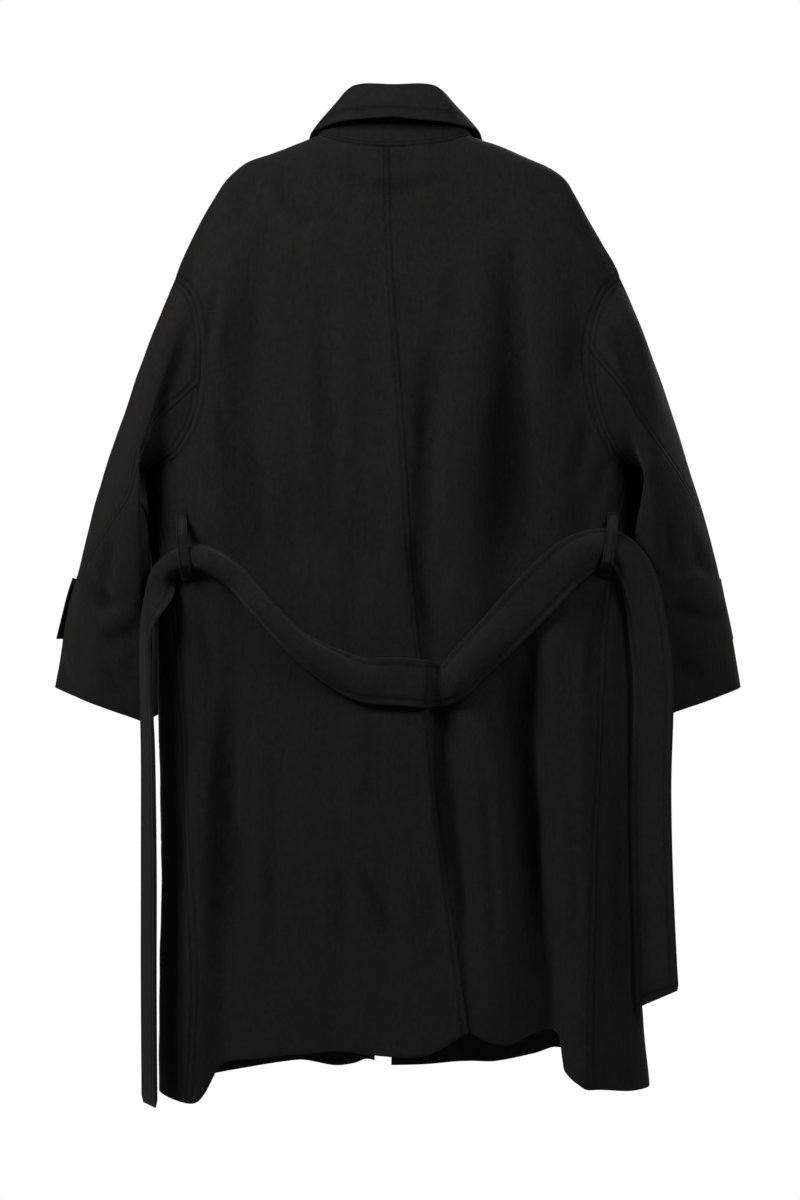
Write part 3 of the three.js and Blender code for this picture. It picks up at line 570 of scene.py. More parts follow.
# Small creases of the side that the camera sees, each along a bent path in that frame's pixels.
# A trough has a negative depth in millimetres, and lean makes one of its sides steeper
SEEN_CREASES = Table("x1 y1 x2 y2 x3 y3 depth wide lean", [
    (508, 190, 514, 350, 512, 560, -5.5, 13, 0.3),
    (502, 330, 508, 440, 512, 640, -8.0, 24, 0.2),
    (505, 600, 520, 760, 540, 1010, -7.0, 17, 0.2),
    (248, 400, 252, 520, 262, 620, -4.5, 13, 0.2),
    (572, 380, 570, 460, 566, 540, 2.6, 15, 0),
    (432, 330, 424, 460, 420, 600, -5.5, 11, 0.2),
    (236, 690, 228, 770, 230, 1000, -6.5, 15, 0.2),
    (434, 706, 439, 780, 450, 900, -7.0, 6, 0.4),
    (577, 235, 571, 330, 560, 440, -3.1, 13, -0.3),
    (252, 235, 243, 400, 236, 540, -3.4, 14, 0.3),
    (318, 240, 322, 420, 326, 600, -2.7, 12, -0.2),
    (356, 200, 352, 330, 360, 470, 2.4, 12, 0.2),
    (466, 210, 470, 330, 474, 500, 2.5, 14, -0.2),
    (332, 168, 392, 188, 455, 166, -2.7, 8, 0.4),
    (280, 190, 300, 215, 330, 226, -2.0, 9, 0.2),
    (520, 180, 500, 210, 470, 224, -2.0, 9, 0.2),
    (414, 520, 424, 600, 436, 664, -7.5, 10, 0.5),
    (444, 560, 450, 620, 452, 680, 3.4, 10, 0),
    (213, 284, 210, 312, 206, 352, -3.8, 5, -0.4),
    (222, 292, 219, 330, 214, 380, 2.7, 7, 0),
    (585, 300, 580, 340, 577, 390, -2.7, 8, 0.3),
    (206, 396, 222, 432, 236, 486, -3.7, 8, 0.4),
    (196, 440, 206, 470, 208, 508, -3.1, 7, -0.2),
    (596, 404, 582, 440, 566, 498, -3.7, 8, -0.4),
    (612, 452, 602, 476, 600, 508, -2.7, 7, 0.2),
    (192, 584, 204, 646, 212, 720, -4.1, 8, 0.4),
    (600, 584, 594, 640, 588, 716, -4.1, 8, -0.4),
    (564, 600, 556, 660, 548, 740, 3.1, 10, 0),
    (240, 640, 246, 740, 240, 860, 3.4, 12, 0.2),
    (272, 700, 264, 860, 257, 1030, -3.4, 13, -0.3),
    (300, 690, 308, 820, 306, 990, 2.7, 14, 0.2),
    (332, 730, 338, 880, 348, 1030, -2.5, 10, 0.3),
    (347, 858, 372, 892, 396, 952, -4.1, 7, 0.5),
    (372, 700, 368, 780, 360, 850, -2.5, 10, -0.3),
    (404, 760, 404, 880, 412, 1010, 2.2, 10, 0),
    (483, 712, 489, 850, 497, 1010, -3.8, 9, 0.4),
    (462, 740, 468, 860, 476, 980, 3.1, 9, 0),
    (520, 690, 528, 780, 534, 900, -4.2, 9, 0.4),
    (546, 800, 548, 900, 547, 1010, 4.4, 8, 0),
    (566, 760, 572, 880, 574, 1010, -3.4, 8, 0.3),
    (196, 760, 200, 900, 205, 1030, 3.1, 9, 0.2),
    (180, 700, 184, 820, 180, 960, -2.7, 7, 0),
    (617, 740, 614, 880, 610, 1030, -2.4, 8, 0.2),
    (196, 300, 172, 380, 143, 448, -6.2, 10, 0.5),
    (176, 300, 150, 380, 124, 450, 3.7, 14, 0),
    (150, 330, 128, 400, 104, 468, -3.1, 10, 0.2),
    (205, 216, 180, 268, 158, 330, -2.7, 12, 0.2),
    (120, 520, 104, 570, 96, 640, -3.7, 9, -0.3),
    (84, 560, 96, 590, 128, 606, -4.1, 8, 0.3),
    (96, 641, 116, 637, 142, 630, -5.0, 8, 0.4),
    (92, 622, 114, 616, 140, 612, 3.7, 8, 0),
    (62, 640, 70, 660, 82, 690, 3.4, 6, 0),
    (98, 664, 112, 680, 118, 706, -3.1, 8, 0.2),
    (604, 300, 628, 372, 652, 440, -4.4, 10, -0.4),
    (626, 290, 652, 370, 676, 440, 3.1, 13, 0),
    (590, 214, 612, 262, 636, 330, -2.5, 12, -0.2),
    (664, 588, 688, 580, 716, 574, 4.5, 8, 0),
    (664, 606, 694, 611, 728, 622, -5.8, 8, -0.4),
    (668, 634, 692, 640, 722, 652, 3.4, 9, 0),
    (690, 520, 700, 560, 712, 592, -3.4, 8, 0.3),
    (668, 664, 690, 668, 716, 684, -3.1, 8, 0.2),
    (664, 500, 670, 540, 668, 580, -3.7, 7, 0.2),
])
# The same on the open side, at places across and up in millimetres
HIDDEN_CREASES = Table("x1 y1 x2 y2 x3 y3 depth wide lean", [
    (-180, -120, -160, -300, -150, -520, -2.6, 18, 0.3),
    (176, -120, 158, -310, 150, -540, -2.6, 18, -0.3),
    (-90, -160, -96, -340, -88, -560, -1.8, 16, 0.2),
    (84, -170, 92, -360, 90, -600, -1.8, 16, -0.2),
    (-250, -380, -226, -440, -206, -520, -2.6, 11, 0.4),
    (246, -376, 222, -440, 204, -520, -2.6, 11, -0.4),
    (-40, -240, -44, -420, -40, -640, 1.6, 14, 0),
    (36, -260, 40, -460, 38, -700, 1.6, 14, 0),
    (-230, -560, -214, -720, -208, -900, 2.4, 16, 0.2),
    (226, -560, 214, -740, 206, -920, 2.4, 16, 0.2),
    (-126, -640, -134, -820, -140, -1060, -2.4, 15, 0.3),
    (122, -650, 128, -840, 138, -1080, -2.4, 15, -0.3),
    (-52, -760, -58, -920, -60, -1120, -1.8, 12, 0.2),
    (46, -740, 52, -900, 56, -1110, -1.8, 12, -0.2),
    (-258, -700, -262, -880, -268, -1080, -2.0, 13, 0.2),
    (254, -700, 258, -880, 266, -1080, -2.0, 13, 0.2),
    (-300, -240, -330, -330, -362, -420, -3.2, 14, 0.3),
    (296, -240, 326, -330, 356, -420, -3.2, 14, -0.3),
    (-330, -480, -372, -505, -404, -500, -3.6, 11, 0.3),
    (328, -470, 368, -500, 402, -498, -3.6, 11, 0.3),
    (-326, -540, -360, -556, -410, -560, 2.6, 11, 0),
    (322, -540, 358, -552, 408, -556, 2.6, 11, 0),
    (-330, -640, -364, -650, -400, -640, -2.4, 10, 0.2),
    (326, -640, 362, -648, 398, -640, -2.4, 10, 0.2),
])
# Low waves that leave no stretch of cloth quite even
WAVES = Table("height wide tall turn start", [
    (0.50, 61, 700, 0.3, 1.1),
    (0.45, 83, -520, 1.9, 2.6),
    (0.60, 137, 910, 0.9, 0.4),
    (0.32, 43, 380, 2.5, 5.0),
    (0.30, 210, 150, 1.2, 3.3),
    (0.20, 95, 64, 0.2, 0.9),
])


def in_picture(p):
    k = AWAY / (AWAY + p[:, 1] - PLANE_Y) / PIXEL
    return np.stack([400 + (p[:, 0] - CENTRE_X) * k, 600 - (p[:, 2] - CENTRE_Z) * k], -1)


def near_path(points, path):
    """Distance of each point from a path, how far along it that is, and on which side in two dimensions."""
    best = np.full(len(points), np.inf)
    run = np.zeros(len(points))
    side = np.zeros(len(points))
    start = 0.0
    for a, b in zip(path[:-1], path[1:]):
        way = b - a
        long = float(np.linalg.norm(way))
        if long < 1e-6:
            continue
        t = np.clip((points - a) @ way / long**2, 0, 1)
        off = points - a - t[:, None] * way
        far = np.linalg.norm(off, axis=1)
        closer = far < best
        best[closer] = far[closer]
        run[closer] = start + t[closer] * long
        if points.shape[1] == 2:
            side[closer] = np.sign(way[0] * off[closer, 1] - way[1] * off[closer, 0])
        start += long
    return best, run, side


def crease_push(places, creases):
    total = np.zeros(len(places))
    c = creases.columns
    for i in range(len(c["x1"])):
        a, b, d = (np.array([c["x" + k][i], c["y" + k][i]]) for k in "123")
        q = np.linspace(0, 1, 11)[:, None]
        path = a * (1 - q) * (1 - 2 * q) + 4 * b * q * (1 - q) + d * q * (2 * q - 1)
        reach = 4 * c["wide"][i]
        here = np.all((places > path.min(0) - reach) & (places < path.max(0) + reach), axis=1)
        if not here.any():
            continue
        far, run, side = near_path(places[here], path)
        long = np.linalg.norm(np.diff(path, axis=0), axis=1).sum()
        fade = smooth(0, 0.35, run / long) * (1 - smooth(0.6, 1, run / long))
        width = c["wide"][i] * (1 + c["lean"][i] * side * 0.5)
        lip = np.exp(-(((far - 1.9 * width) / width) ** 2)) * 0.22
        total[here] += c["depth"][i] * fade * (np.exp(-((far / width) ** 2)) - lip)
    return total


def push(p, normals):
    """How far creases and waves move the cloth along its normal."""
    seen = smooth(0.02, 0.45, -normals[:, 1])
    hidden = smooth(0.02, 0.45, normals[:, 1])
    total = np.zeros(len(p))
    total += seen * crease_push(in_picture(p), SEEN_CREASES)
    total += hidden * crease_push(p[:, [0, 2]], HIDDEN_CREASES)
    w = WAVES.columns
    for i in range(len(w["height"])):
        across = p[:, 0] * math.cos(w["turn"][i]) + p[:, 1] * math.sin(w["turn"][i])
        turns = across / w["wide"][i] + p[:, 2] / w["tall"][i]
        total += w["height"][i] * np.sin(2 * np.pi * turns + w["start"][i])
    return total


class Cloth:
    """One cut piece, as a grid of points on its outer face."""

    def __init__(self, name, grid, inside, free, stitched, thick=CLOTH, turned=None, creased=True):
        self.name, self.thick, self.creased = name, thick, creased
        there = ~np.isnan(grid[..., 0])
        index = np.full(there.shape, -1)
        index[there] = np.arange(there.sum())
        self.points = grid[there]
        self.free = free[there]
        a, b, c, d = index[:-1, :-1], index[:-1, 1:], index[1:, 1:], index[1:, :-1]
        whole = (a >= 0) & (b >= 0) & (c >= 0) & (d >= 0)
        self.quads = np.stack([k[whole] for k in (a, b, c, d)], -1)
        if (self.vertex_normals() * (self.points - np.array(inside, float))).sum() < 0:
            self.quads = self.quads[:, ::-1]
        self.normals = self.vertex_normals()
        self.rim = self.rim_edges()
        self.seam, self.row, self.run = self.sewing(grid, free, stitched)
        self.turned = np.zeros(len(self.points)) if turned is None else self.turn_up(grid[turned])

    def vertex_normals(self):
        p, q = self.points, self.quads
        across = np.cross(p[q[:, 2]] - p[q[:, 0]], p[q[:, 3]] - p[q[:, 1]])
        total = np.zeros_like(p)
        for k in range(4):
            np.add.at(total, q[:, k], across)
        return total / np.maximum(np.linalg.norm(total, axis=1), 1e-9)[:, None]

    def rim_edges(self):
        edges = np.concatenate([self.quads[:, [k, (k + 1) % 4]] for k in range(4)])
        ordered = np.sort(edges, axis=1)
        _, first, count = np.unique(ordered, axis=0, return_index=True, return_counts=True)
        return edges[first[count == 1]]

    def outward(self):
        """Directions out of the piece, in its own surface, at the points of its rim."""
        p, n = self.points, self.normals
        a, b = self.rim[:, 0], self.rim[:, 1]
        way = np.cross(p[b] - p[a], n[a] + n[b])
        way /= np.maximum(np.linalg.norm(way, axis=1), 1e-9)[:, None]
        total = np.zeros_like(p)
        np.add.at(total, a, way)
        np.add.at(total, b, way)
        return total / np.maximum(np.linalg.norm(total, axis=1), 1e-9)[:, None]

    def sewing(self, grid, free, stitched):
        """Distance from the nearest seam, share of the way to its row of stitches, and length along that."""
        on_rim = np.zeros(len(self.points), bool)
        on_rim[self.rim.ravel()] = True
        sewn = self.points[on_rim & ~self.free]
        seam = np.full(len(self.points), 99.0)
        for start in range(0, len(sewn), 64):
            part = sewn[start : start + 64]
            seam = np.minimum(seam, np.linalg.norm(self.points[:, None] - part[None], axis=2).min(1))
        row = np.full(len(self.points), 9.0)
        run = np.zeros(len(self.points))
        for path, offset in stitched:
            far, along, _ = near_path(self.points, path)
            closer = far / offset < row
            row[closer] = (far / offset)[closer]
            run[closer] = along[closer]
        return seam, row, run

    def turn_up(self, edge):
        edge = edge[~np.isnan(edge[:, 0])]
        far, _, _ = near_path(self.points, edge[::2])
        return 1.8 * (1 - smooth(34, 42, far))

    def build(self):
        points = self.points
        self.painted_trough_shade = np.zeros(len(points))
        if self.creased:
            moved = push(points, self.normals)
            # Painted shade: the colour is darkened where creases and waves push the cloth in, in full at the depth
            # set above
            self.painted_trough_shade = np.clip(-moved / PAINTED_SHADE_DEPTH, 0, 1)
            points = points + self.normals * moved[:, None]
        rim = np.unique(self.rim)
        out = self.outward()[rim]
        draw = np.where(self.free[rim], self.thick / 2, -SEAM_OVERLAP)
        outer = points.copy()
        outer[rim] -= out * draw[:, None]
        depth = (self.thick + self.turned)[:, None]
        inner = outer - self.normals * depth
        count = len(points)
        loops, steps = [], 4
        place = np.full(count, -1)
        place[rim] = np.arange(len(rim))
        for k in range(1, steps):
            turn = math.pi * k / steps
            middle = (outer[rim] + inner[rim]) / 2
            half = self.normals[rim] * depth[rim] / 2
            bulge = np.where(self.free[rim], self.thick / 2, 0)[:, None]
            loops.append(middle + half * math.cos(turn) + out * bulge * math.sin(turn))
        faces = [self.quads, self.quads[:, ::-1] + count]
        a, b = self.rim[:, 0], self.rim[:, 1]

        def level(k, v):
            if k == 0:
                return v
            return v + count if k == steps else 2 * count + (k - 1) * len(rim) + place[v]

        for k in range(steps):
            faces.append(np.stack([level(k, a), level(k + 1, a), level(k + 1, b), level(k, b)], -1))
        at = {}
        for key in ("seam", "row", "run", "painted_trough_shade"):
            value = getattr(self, key)
            at[key] = np.concatenate([value, value] + [value[rim]] * (steps - 1))
        return make_piece(self.name, np.concatenate([outer, inner] + loops), np.concatenate(faces), at)


def make_piece(name, points, faces, attributes):
    mesh = bpy.data.meshes.new("cloth_" + name)
    mesh.from_pydata((points * MM).tolist(), [], faces.tolist())
    mesh.update()
    for key, value in attributes.items():
        mesh.attributes.new(key, "FLOAT", "POINT").data.foreach_set("value", value.astype(np.float32))
    mesh.shade_smooth()
    mesh.set_sharp_from_angle(angle=math.radians(52))
    piece = bpy.data.objects.new("cloth_" + name, mesh)
    bpy.context.scene.collection.objects.link(piece)
    return piece


def share_normals(cloths):
    """Pieces that meet at a seam turn the same way there."""
    rims = [np.unique(c.rim) for c in cloths]
    points = np.concatenate([c.points[r] for c, r in zip(cloths, rims)])
    normals = np.concatenate([c.normals[r] for c, r in zip(cloths, rims)])
    keys = np.round(points / 0.05).astype(int)
    _, group = np.unique(keys, axis=0, return_inverse=True)
    total = np.zeros((group.max() + 1, 3))
    np.add.at(total, group.ravel(), normals)
    shared = total[group.ravel()]
    shared /= np.linalg.norm(shared, axis=1)[:, None]
    start = 0
    for c, r in zip(cloths, rims):
        c.normals[r] = shared[start : start + len(r)]
        start += len(r)


ALL = slice(None)


def free_mask(grid, *edges):
    mask = np.zeros(grid.shape[:2], bool)
    for rows, columns in edges:
        mask[rows, columns] = True
    return mask


def body_panels():
    cloths = []
    for side in (LEFT, RIGHT):
        for face in (BACK, FRONT):
            name = ("back_" if face == BACK else "front_") + side_name(side)
            grid, rows = panel_grid(side, face)
            vent = rows <= VENT_ROWS
            outer = grid[::2, -1]
            inner = grid[::2, 0]
            if face == FRONT:
                free = free_mask(grid, (0, ALL), (ALL, 0))
                stitched = [(inner, STITCH["front"])]
            elif side == LEFT:
                free = free_mask(grid, (0, ALL), (vent, 0))
                stitched = [(inner, STITCH["back"]), (outer, STITCH["side"])]
            else:
                stitched = [(outer, STITCH["side"])]
                grid = with_vent_strip(grid, rows)
                free = free_mask(grid, (0, ALL), (vent, 0), (rows == VENT_ROWS, slice(0, VENT_STEPS)))
            cloths.append(Cloth(name, grid, (0, 0, -600), free, stitched, turned=(0, ALL)))
    return cloths


def sleeve_panels():
    cloths = []
    for side in (LEFT, RIGHT):
        for part in ("upper", "under"):
            grid = sleeve_grid(side, part)
            free = free_mask(grid, (-1, ALL))
            stitched = [(grid[0, ::2], STITCH["sleeve"])]
            if part == "upper":
                stitched.append((grid[::2, -1], STITCH["sleeve"]))
            name = f"sleeve_{part}_{side_name(side)}"
            cloths.append(Cloth(name, grid, (side * 360, 30, -460), free, stitched, turned=(-1, ALL)))
    return cloths


def strap(side):
    across, around = 22, 72
    grid = np.zeros((across + 1, around + 1, 3))
    q = np.linspace(0, 1, around + 1)
    angle = np.radians(mix(STRAP_START[side], STRAP["end"], q))
    for r in range(across + 1):
        along = mix(STRAP["from"], STRAP["to"], r / across)
        row = {k: float(SLEEVE.read(k, along)) for k in SLEEVE.columns}
        p = sleeve_ring(side, row, angle)
        run = sleeve_ring(side, row, angle + 0.02) - sleeve_ring(side, row, angle - 0.02)
        run /= np.linalg.norm(run, axis=1)[:, None]
        out = np.stack([side * np.cos(angle), -np.sin(angle), np.zeros(len(angle))], -1)
        out -= (out * run).sum(1)[:, None] * run
        out /= np.linalg.norm(out, axis=1)[:, None]
        loose = STRAP_LOOSE[side] * r / across * (1 - smooth(0, 0.16, q))
        grid[r] = p + out * (CLOTH + 3 * CLEARANCE + loose + 0.5 + push(p, out))[:, None]
    free = np.ones(grid.shape[:2], bool)
    ring = np.concatenate([grid[0, :], grid[1:, -1], grid[-1, ::-1]])
    name = f"sleeve_strap_{side_name(side)}"
    return Cloth(name, grid, (side * 370, 30, -560), free, [(ring, STITCH["strap"])], creased=False)


def collar():
    stand = stand_grid()
    fall = fall_grid()
    ends = free_mask(stand, (ALL, 0), (ALL, -1))
    down = np.linspace(0, 1, len(fall))[:, None]
    fall[..., 2] += 0.9 * np.sin(np.linspace(0, 19, fall.shape[1]))[None] * down**2
    edge = np.concatenate([fall[8:, 0], fall[-1], fall[8:, -1][::-1]])
    free = np.ones(fall.shape[:2], bool)
    return [
        Cloth("collar_stand", stand, (0, 0, 20), ends, [(stand[0], STITCH["stand"])], creased=False),
        Cloth("collar_fall", fall, (0, 0, 0), free, [(edge, STITCH["fall"])], creased=False),
    ]


def skin_y(x, z):
    """The outer face of the creased back."""
    y = face_y(BACK, x, z) - vent_rise(LEFT, BACK, x, z)
    p = np.stack([x, y, z], -1).reshape(-1, 3)
    return y - push(p, np.tile([0.0, -1.0, 0.0], (len(p), 1))).reshape(y.shape)


def belt_sections():
    """Points across the belt's middle surface and their outward directions, ring by ring."""
    share = np.linspace(0, 1, BELT_RINGS + 1)
    reach = 0.004

    def spot(at):
        return np.stack([BELT.read("x", at), np.zeros(len(at)), BELT.read("z", at)], -1)

    middle = spot(share)
    run = spot(np.minimum(1, share + reach)) - spot(np.maximum(0, share - reach))
    run /= np.linalg.norm(run, axis=1)[:, None]
    flat = np.stack([-run[:, 2], np.zeros(len(run)), run[:, 0]], -1)
    lean, cup = np.radians(BELT.read("lean", share)), np.radians(BELT.read("cup", share))
    across = np.linspace(-1, 1, 21)
    fine = np.linspace(-1, 1, 81)
    turned = lean[:, None] + cup[:, None] * np.sign(fine) * smooth(0, 0.5, np.abs(fine)) * 1.2
    wide = flat[:, None] * np.cos(turned)[..., None] - np.array([0, 1, 0]) * np.sin(turned)[..., None]
    step = BELT_WIDTH / 2 * (fine[1] - fine[0])
    steps = np.cumsum((wide[:, 1:] + wide[:, :-1]) / 2 * step, 1)
    spots = np.concatenate([np.zeros((len(share), 1, 3)), steps], 1)
    spots += middle[:, None] - spots[:, 40:41]
    keep = np.searchsorted(fine, across - 1e-9)
    out = -flat[:, None] * np.sin(turned)[..., None] - np.array([0, 1, 0]) * np.cos(turned)[..., None]
    spots, out = spots[:, keep], out[:, keep]
    tip = np.clip((share - (1 - BELT_TIP)) / BELT_TIP, 0, 1)
    spots[..., 2] += tip[:, None] * BELT_SLANT * across
    back = spots - out * BELT_CLOTH / 2
    wide_here = 0.97 * width_at(back[..., 0], back[..., 2])
    x = np.clip(back[..., 0], -wide_here, wide_here)
    room = skin_y(x, back[..., 2]) - back[..., 1]
    shift = room.min(1) - CLEARANCE - BELT.read("off", share)
    soft = np.convolve(np.pad(shift, 4, mode="edge"), np.ones(9) / 9, mode="valid")
    spots[..., 1] += np.minimum(shift, soft)[:, None]
    length = np.concatenate([[0], np.cumsum(np.linalg.norm(np.diff(spots[:, 10], axis=0), axis=1))])
    return spots, out, across, length


def strip_mesh(name, spots, out, across, length, half, thick, offset):
    """A strip of doubled cloth round its middle surface, thinner along its rows of stitches."""
    rings = len(spots)
    from_edge = (1 - np.abs(across)) * half
    puff = 1 - 0.2 * np.exp(-(((from_edge - offset) / 3) ** 2))
    end = np.minimum(length, length[-1] - length)
    taper = np.sqrt(np.clip(1 - (1 - np.clip(end / (thick / 2), 0, 1)) ** 2, 0.02, 1))
    depth = thick / 2 * puff[None] * taper[:, None]
    side = np.gradient(spots, axis=1)
    side /= np.linalg.norm(side, axis=2)[..., None]
    trimmed = spots.copy()
    trimmed[:, 0] += side[:, 0] * thick / 2
    trimmed[:, -1] -= side[:, -1] * thick / 2
    front = trimmed + out * depth[..., None]
    back = trimmed - out * depth[..., None]
    round_edges = []
    for k, sign in ((-1, 1), (0, -1)):
        turns = np.radians([45, 0, -45]) if k == -1 else np.radians([-45, 0, 45])
        for t in turns:
            round_edges.append(
                trimmed[:, k] + (side[:, k] * sign * math.cos(t) + out[:, k] * math.sin(t)) * depth[:, k, None]
            )
    far, near = round_edges[:3], round_edges[3:]
    loop = np.concatenate([front, np.stack(far, 1), back[:, ::-1], np.stack(near, 1)], 1)
    count = loop.shape[1]
    index = np.arange(rings * count).reshape(rings, count)
    a, b = index[:-1], np.roll(index[:-1], -1, 1)
    d, c = index[1:], np.roll(index[1:], -1, 1)
    faces = np.stack([a, b, c, d], -1).reshape(-1, 4)
    points = loop.reshape(-1, 3)
    centre = loop.mean(1)
    p = loop[:-1].reshape(-1, 3)
    normal = np.cross(points[faces[:, 2]] - points[faces[:, 0]], points[faces[:, 3]] - points[faces[:, 1]])
    if (normal * (p - np.repeat(centre[:-1], count, 0))).sum() < 0:
        faces = faces[:, ::-1]
    edge = np.concatenate([from_edge, np.zeros(3), from_edge[::-1], np.zeros(3)])
    row = np.minimum(edge[None] / offset, np.maximum(end, 0)[:, None] / offset)
    run = np.repeat(length[:, None], count, 1)
    at = {"seam": np.full(points.shape[0], 99.0), "row": row.ravel(), "run": run.ravel()}
    return make_piece(name, points, faces, at)


def loop_piece(side, belt_points):
    x, tilt, top, bottom = LOOPS[side]
    near = (np.abs(belt_points[:, 0] - x) < LOOP["width"] / 2 + 2) & (belt_points[:, 2] > LOOP["lowest"])
    crest = belt_points[near, 1].min() - LOOP["thick"] / 2 - CLEARANCE
    q = np.linspace(0, 1, 71)
    z = mix(top, bottom, q)
    across = x + tilt * (2 * q - 1)
    rise = smooth(0.04, LOOP["over"], q) * (1 - smooth(LOOP["under"], 0.97, q))
    cloth = np.min([skin_y(across + k * LOOP["width"] / 2, z) for k in (-1, 0, 1)], axis=0)
    y = mix(cloth - LOOP["thick"] / 2 - CLEARANCE, crest, rise)
    middle = np.stack([across, y, z], -1)
    run = np.gradient(middle, axis=0)
    run /= np.linalg.norm(run, axis=1)[:, None]
    wide = np.array([1.0, 0, 0])
    out = np.cross(run, -wide)
    out /= np.linalg.norm(out, axis=1)[:, None]
    v = np.linspace(-1, 1, 9)
    spots = middle[:, None] + wide * (v * LOOP["width"] / 2)[None, :, None]
    length = np.concatenate([[0], np.cumsum(np.linalg.norm(np.diff(middle, axis=0), axis=1))])
    outs = np.repeat(out[:, None], len(v), 1)
    name = f"belt_loop_{side_name(side)}"
    return strip_mesh(name, spots, outs, v, length, LOOP["width"] / 2, LOOP["thick"], STITCH["loop"])


# The coating cloth, near black: felted nap, faint upright streaks, seams and rows of stitches, with painted shade in
# crease troughs, seam grooves and stitch channels and a painted highlight on the stitches
def wool(name, darkest, lightest):
    material = bpy.data.materials.new(name)
    material.use_nodes = True
    tree = material.node_tree
    tree.nodes.clear()

    def node(kind, **settings):
        made = tree.nodes.new("ShaderNode" + kind)
        for key, value in settings.items():
            setattr(made, key, value)
        return made

    def feed(socket, value):
        if isinstance(value, bpy.types.NodeSocket):
            tree.links.new(value, socket)
        else:
            socket.default_value = value

    def maths(operation, *values):
        made = node("Math", operation=operation)
        for socket, value in zip(made.inputs, values):
            feed(socket, value)
        return made.outputs[0]

    def attribute(key):
        return node("Attribute", attribute_name=key).outputs["Fac"]

    def ridge(value, centre, width):
        off = maths("DIVIDE", maths("SUBTRACT", value, centre), width)
        return maths("EXPONENT", maths("MULTIPLY", maths("MULTIPLY", off, off), -1.0))

    def noise(stretch, scale, detail):
        place = node("TexCoord").outputs["Object"]
        mapped = node("Mapping")
        feed(mapped.inputs["Vector"], place)
        mapped.inputs["Scale"].default_value = stretch
        made = node("TexNoise")
        feed(made.inputs["Vector"], mapped.outputs[0])
        made.inputs["Scale"].default_value = scale
        made.inputs["Detail"].default_value = detail
        made.inputs["Roughness"].default_value = 0.6
        return made.outputs["Fac"]

    nap = noise((1, 1, 0.7), 620, 3)
    felt = noise((1, 1, 0.6), 190, 4)
    streak = noise((1, 1, 0.09), 150, 3)
    cloudy = noise((1, 1, 0.45), 9, 3)
    seam, row, run = attribute("seam"), attribute("row"), attribute("run")
    seam_groove_and_shade = ridge(seam, 0.0, 1.7)
    stitch_channel_and_shade = ridge(row, 1.0, 0.24)
    line = ridge(row, 1.0, 0.09)
    dash = maths("SINE", maths("MULTIPLY", run, 2 * math.pi / 4.2))
    thread_and_highlight = maths("MULTIPLY", line, maths("GREATER_THAN", dash, -0.35))
    band = maths("SUBTRACT", 1.0, maths("SMOOTH_MIN", maths("MAXIMUM", row, 0.0), 1.0, 0.2))

    shade = maths("MULTIPLY", felt, 0.62)
    shade = maths("ADD", shade, maths("MULTIPLY", nap, 0.34))
    shade = maths("ADD", shade, maths("MULTIPLY", streak, 0.24))
    shade = maths("ADD", shade, maths("MULTIPLY", cloudy, 0.30))
    # Painted shade darkens the stitch channels and the seam grooves, and a painted highlight lightens the stitch
    # thread; the same marks also shape the bump below
    shade = maths("SUBTRACT", shade, maths("MULTIPLY", stitch_channel_and_shade, 0.30))
    shade = maths("SUBTRACT", shade, maths("MULTIPLY", seam_groove_and_shade, 0.34))
    shade = maths("ADD", shade, maths("MULTIPLY", thread_and_highlight, 0.22))
    # Painted shade: the colour darkens in the crease troughs, as deep as the cloth is pushed in
    shade = maths("SUBTRACT", shade, maths("MULTIPLY", attribute("painted_trough_shade"), 0.46))
    ramp = node("ValToRGB")
    ramp.color_ramp.elements[0].position = 0.28
    ramp.color_ramp.elements[0].color = (*darkest, 1)
    ramp.color_ramp.elements[1].position = 0.88
    ramp.color_ramp.elements[1].color = (*lightest, 1)
    feed(ramp.inputs["Fac"], shade)

    high = maths("MULTIPLY", nap, 0.00035)
    high = maths("ADD", high, maths("MULTIPLY", felt, 0.00080))
    high = maths("ADD", high, maths("MULTIPLY", streak, 0.00060))
    high = maths("SUBTRACT", high, maths("MULTIPLY", seam_groove_and_shade, 0.00110))
    high = maths("SUBTRACT", high, maths("MULTIPLY", stitch_channel_and_shade, 0.00075))
    high = maths("ADD", high, maths("MULTIPLY", thread_and_highlight, 0.00025))
    high = maths("ADD", high, maths("MULTIPLY", band, 0.00050))
    bump = node("Bump")
    bump.inputs["Strength"].default_value = 1.0
    bump.inputs["Distance"].default_value = 1.0
    feed(bump.inputs["Height"], high)

    shader = node("BsdfPrincipled")
    feed(shader.inputs["Base Color"], ramp.outputs["Color"])
    feed(shader.inputs["Normal"], bump.outputs["Normal"])
    shader.inputs["Roughness"].default_value = 0.9
    shader.inputs["Specular IOR Level"].default_value = 0.10
    shader.inputs["Sheen Weight"].default_value = 0.06
    shader.inputs["Sheen Roughness"].default_value = 0.55
    shader.inputs["Sheen Tint"].default_value = (0.9, 0.86, 0.84, 1)
    output = node("OutputMaterial")
    feed(output.inputs["Surface"], shader.outputs["BSDF"])
    return material


def dress():
    coating = wool("wool_coating", DARKEST, LIGHTEST)
    shell = body_panels() + sleeve_panels()
    share_normals(shell)
    pieces = [cloth.build() for cloth in shell + collar() + [strap(LEFT), strap(RIGHT)]]
    spots, out, across, length = belt_sections()
    pieces.append(strip_mesh("belt", spots, out, across, length, BELT_WIDTH / 2, BELT_CLOTH, STITCH["belt"]))
    outer = (spots + out * BELT_CLOTH / 2).reshape(-1, 3)
    pieces += [loop_piece(LEFT, outer), loop_piece(RIGHT, outer)]
    for piece in pieces:
        node = piece.name.removeprefix("cloth_")
        piece.data.materials.append(coating)
        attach(piece, "root")
        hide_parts(node)
    return pieces


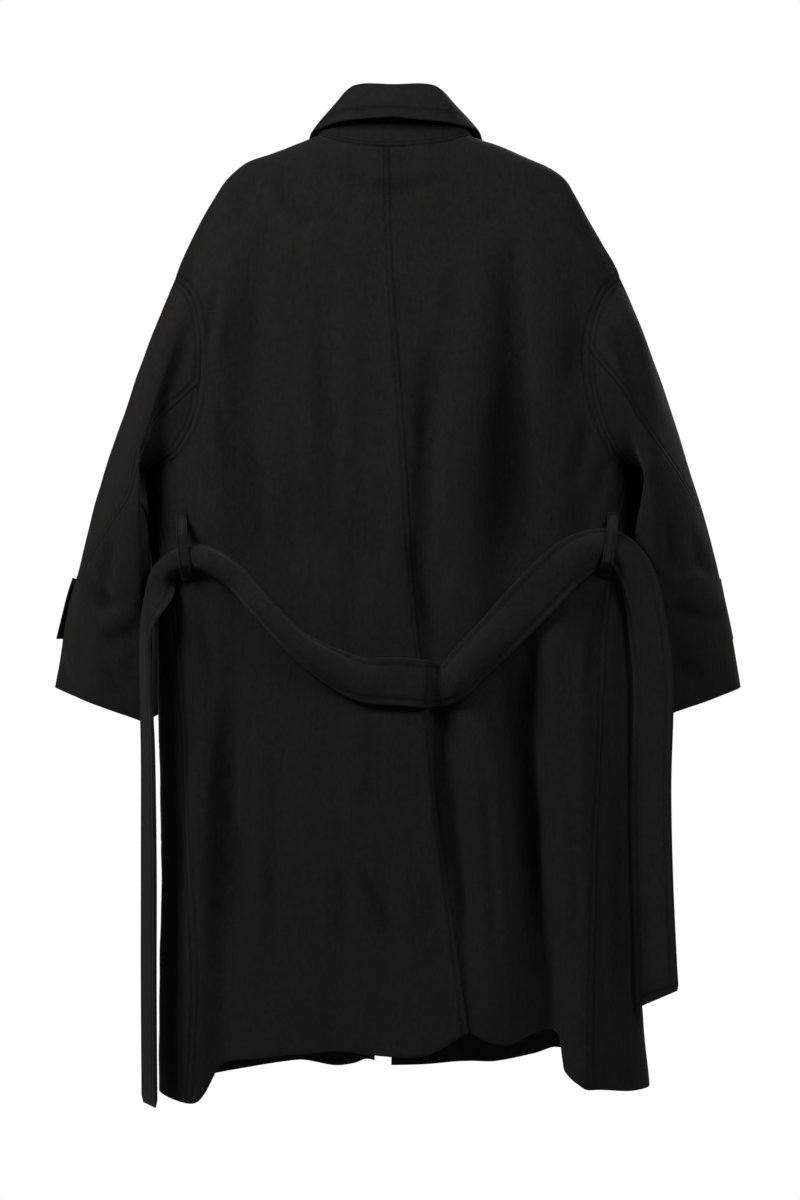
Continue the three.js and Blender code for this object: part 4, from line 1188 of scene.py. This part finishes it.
def floor():
    mesh = bpy.data.meshes.new("floor")
    turns = np.linspace(0, 2 * math.pi, 97)[:-1]
    ring = [(FLOOR_REACH * math.cos(t), FLOOR_REACH * math.sin(t), FLOOR_Z) for t in turns]
    mesh.from_pydata(ring, [], [list(range(len(ring)))])
    plane = bpy.data.objects.new("floor", mesh)
    bpy.context.scene.collection.objects.link(plane)
    pale = bpy.data.materials.new("pale_floor")
    pale.use_nodes = True
    shader = pale.node_tree.nodes["Principled BSDF"]
    shader.inputs["Base Color"].default_value = (0.5, 0.5, 0.5, 1)
    shader.inputs["Roughness"].default_value = 0.8
    mesh.materials.append(pale)


def light(name, place, aim, size, power):
    data = bpy.data.lights.new(name, "AREA")
    data.shape = "RECTANGLE"
    data.size, data.size_y = size
    data.energy = power
    lamp = bpy.data.objects.new(name, data)
    lamp.location = place
    lamp.rotation_euler = (Vector(aim) - Vector(place)).to_track_quat("-Z", "Y").to_euler()
    bpy.context.scene.collection.objects.link(lamp)


def studio():
    world = bpy.data.worlds.new("studio")
    bpy.context.scene.world = world
    world.use_nodes = True
    tree = world.node_tree
    backdrop = tree.nodes["Background"]
    backdrop.inputs["Color"].default_value = (1, 1, 1, 1)
    ambient = tree.nodes.new("ShaderNodeBackground")
    ambient.inputs["Color"].default_value = (1, 1, 1, 1)
    ambient.inputs["Strength"].default_value = AMBIENT
    path = tree.nodes.new("ShaderNodeLightPath")
    either = tree.nodes.new("ShaderNodeMixShader")
    tree.links.new(path.outputs["Is Camera Ray"], either.inputs["Fac"])
    tree.links.new(ambient.outputs["Background"], either.inputs[1])
    tree.links.new(backdrop.outputs["Background"], either.inputs[2])
    tree.links.new(either.outputs["Shader"], tree.nodes["World Output"].inputs["Surface"])
    light("key", (-1.6, -1.5, 0.9), (0, 0, -0.2), (1.0, 1.0), 43)
    light("fill", (1.4, -1.8, 0.8), (0, 0, -0.2), (1.0, 1.0), 22)
    light("back", (1.3, 2.6, 1.2), (0, 0, -0.4), (1.6, 1.6), 40)
    bpy.context.scene.view_settings.view_transform = "Standard"
    data = bpy.data.cameras.new("camera")
    data.sensor_fit = "VERTICAL"
    data.sensor_height = 24
    data.lens = 12 / (600 * PIXEL / AWAY)
    data.clip_end = 60
    camera = bpy.data.objects.new("camera", data)
    camera.location = (CENTRE_X * MM, (PLANE_Y - AWAY) * MM, CENTRE_Z * MM)
    camera.rotation_euler = (math.pi / 2, 0, 0)
    bpy.context.scene.collection.objects.link(camera)
    bpy.context.scene.camera = camera


dress()
floor()
studio()
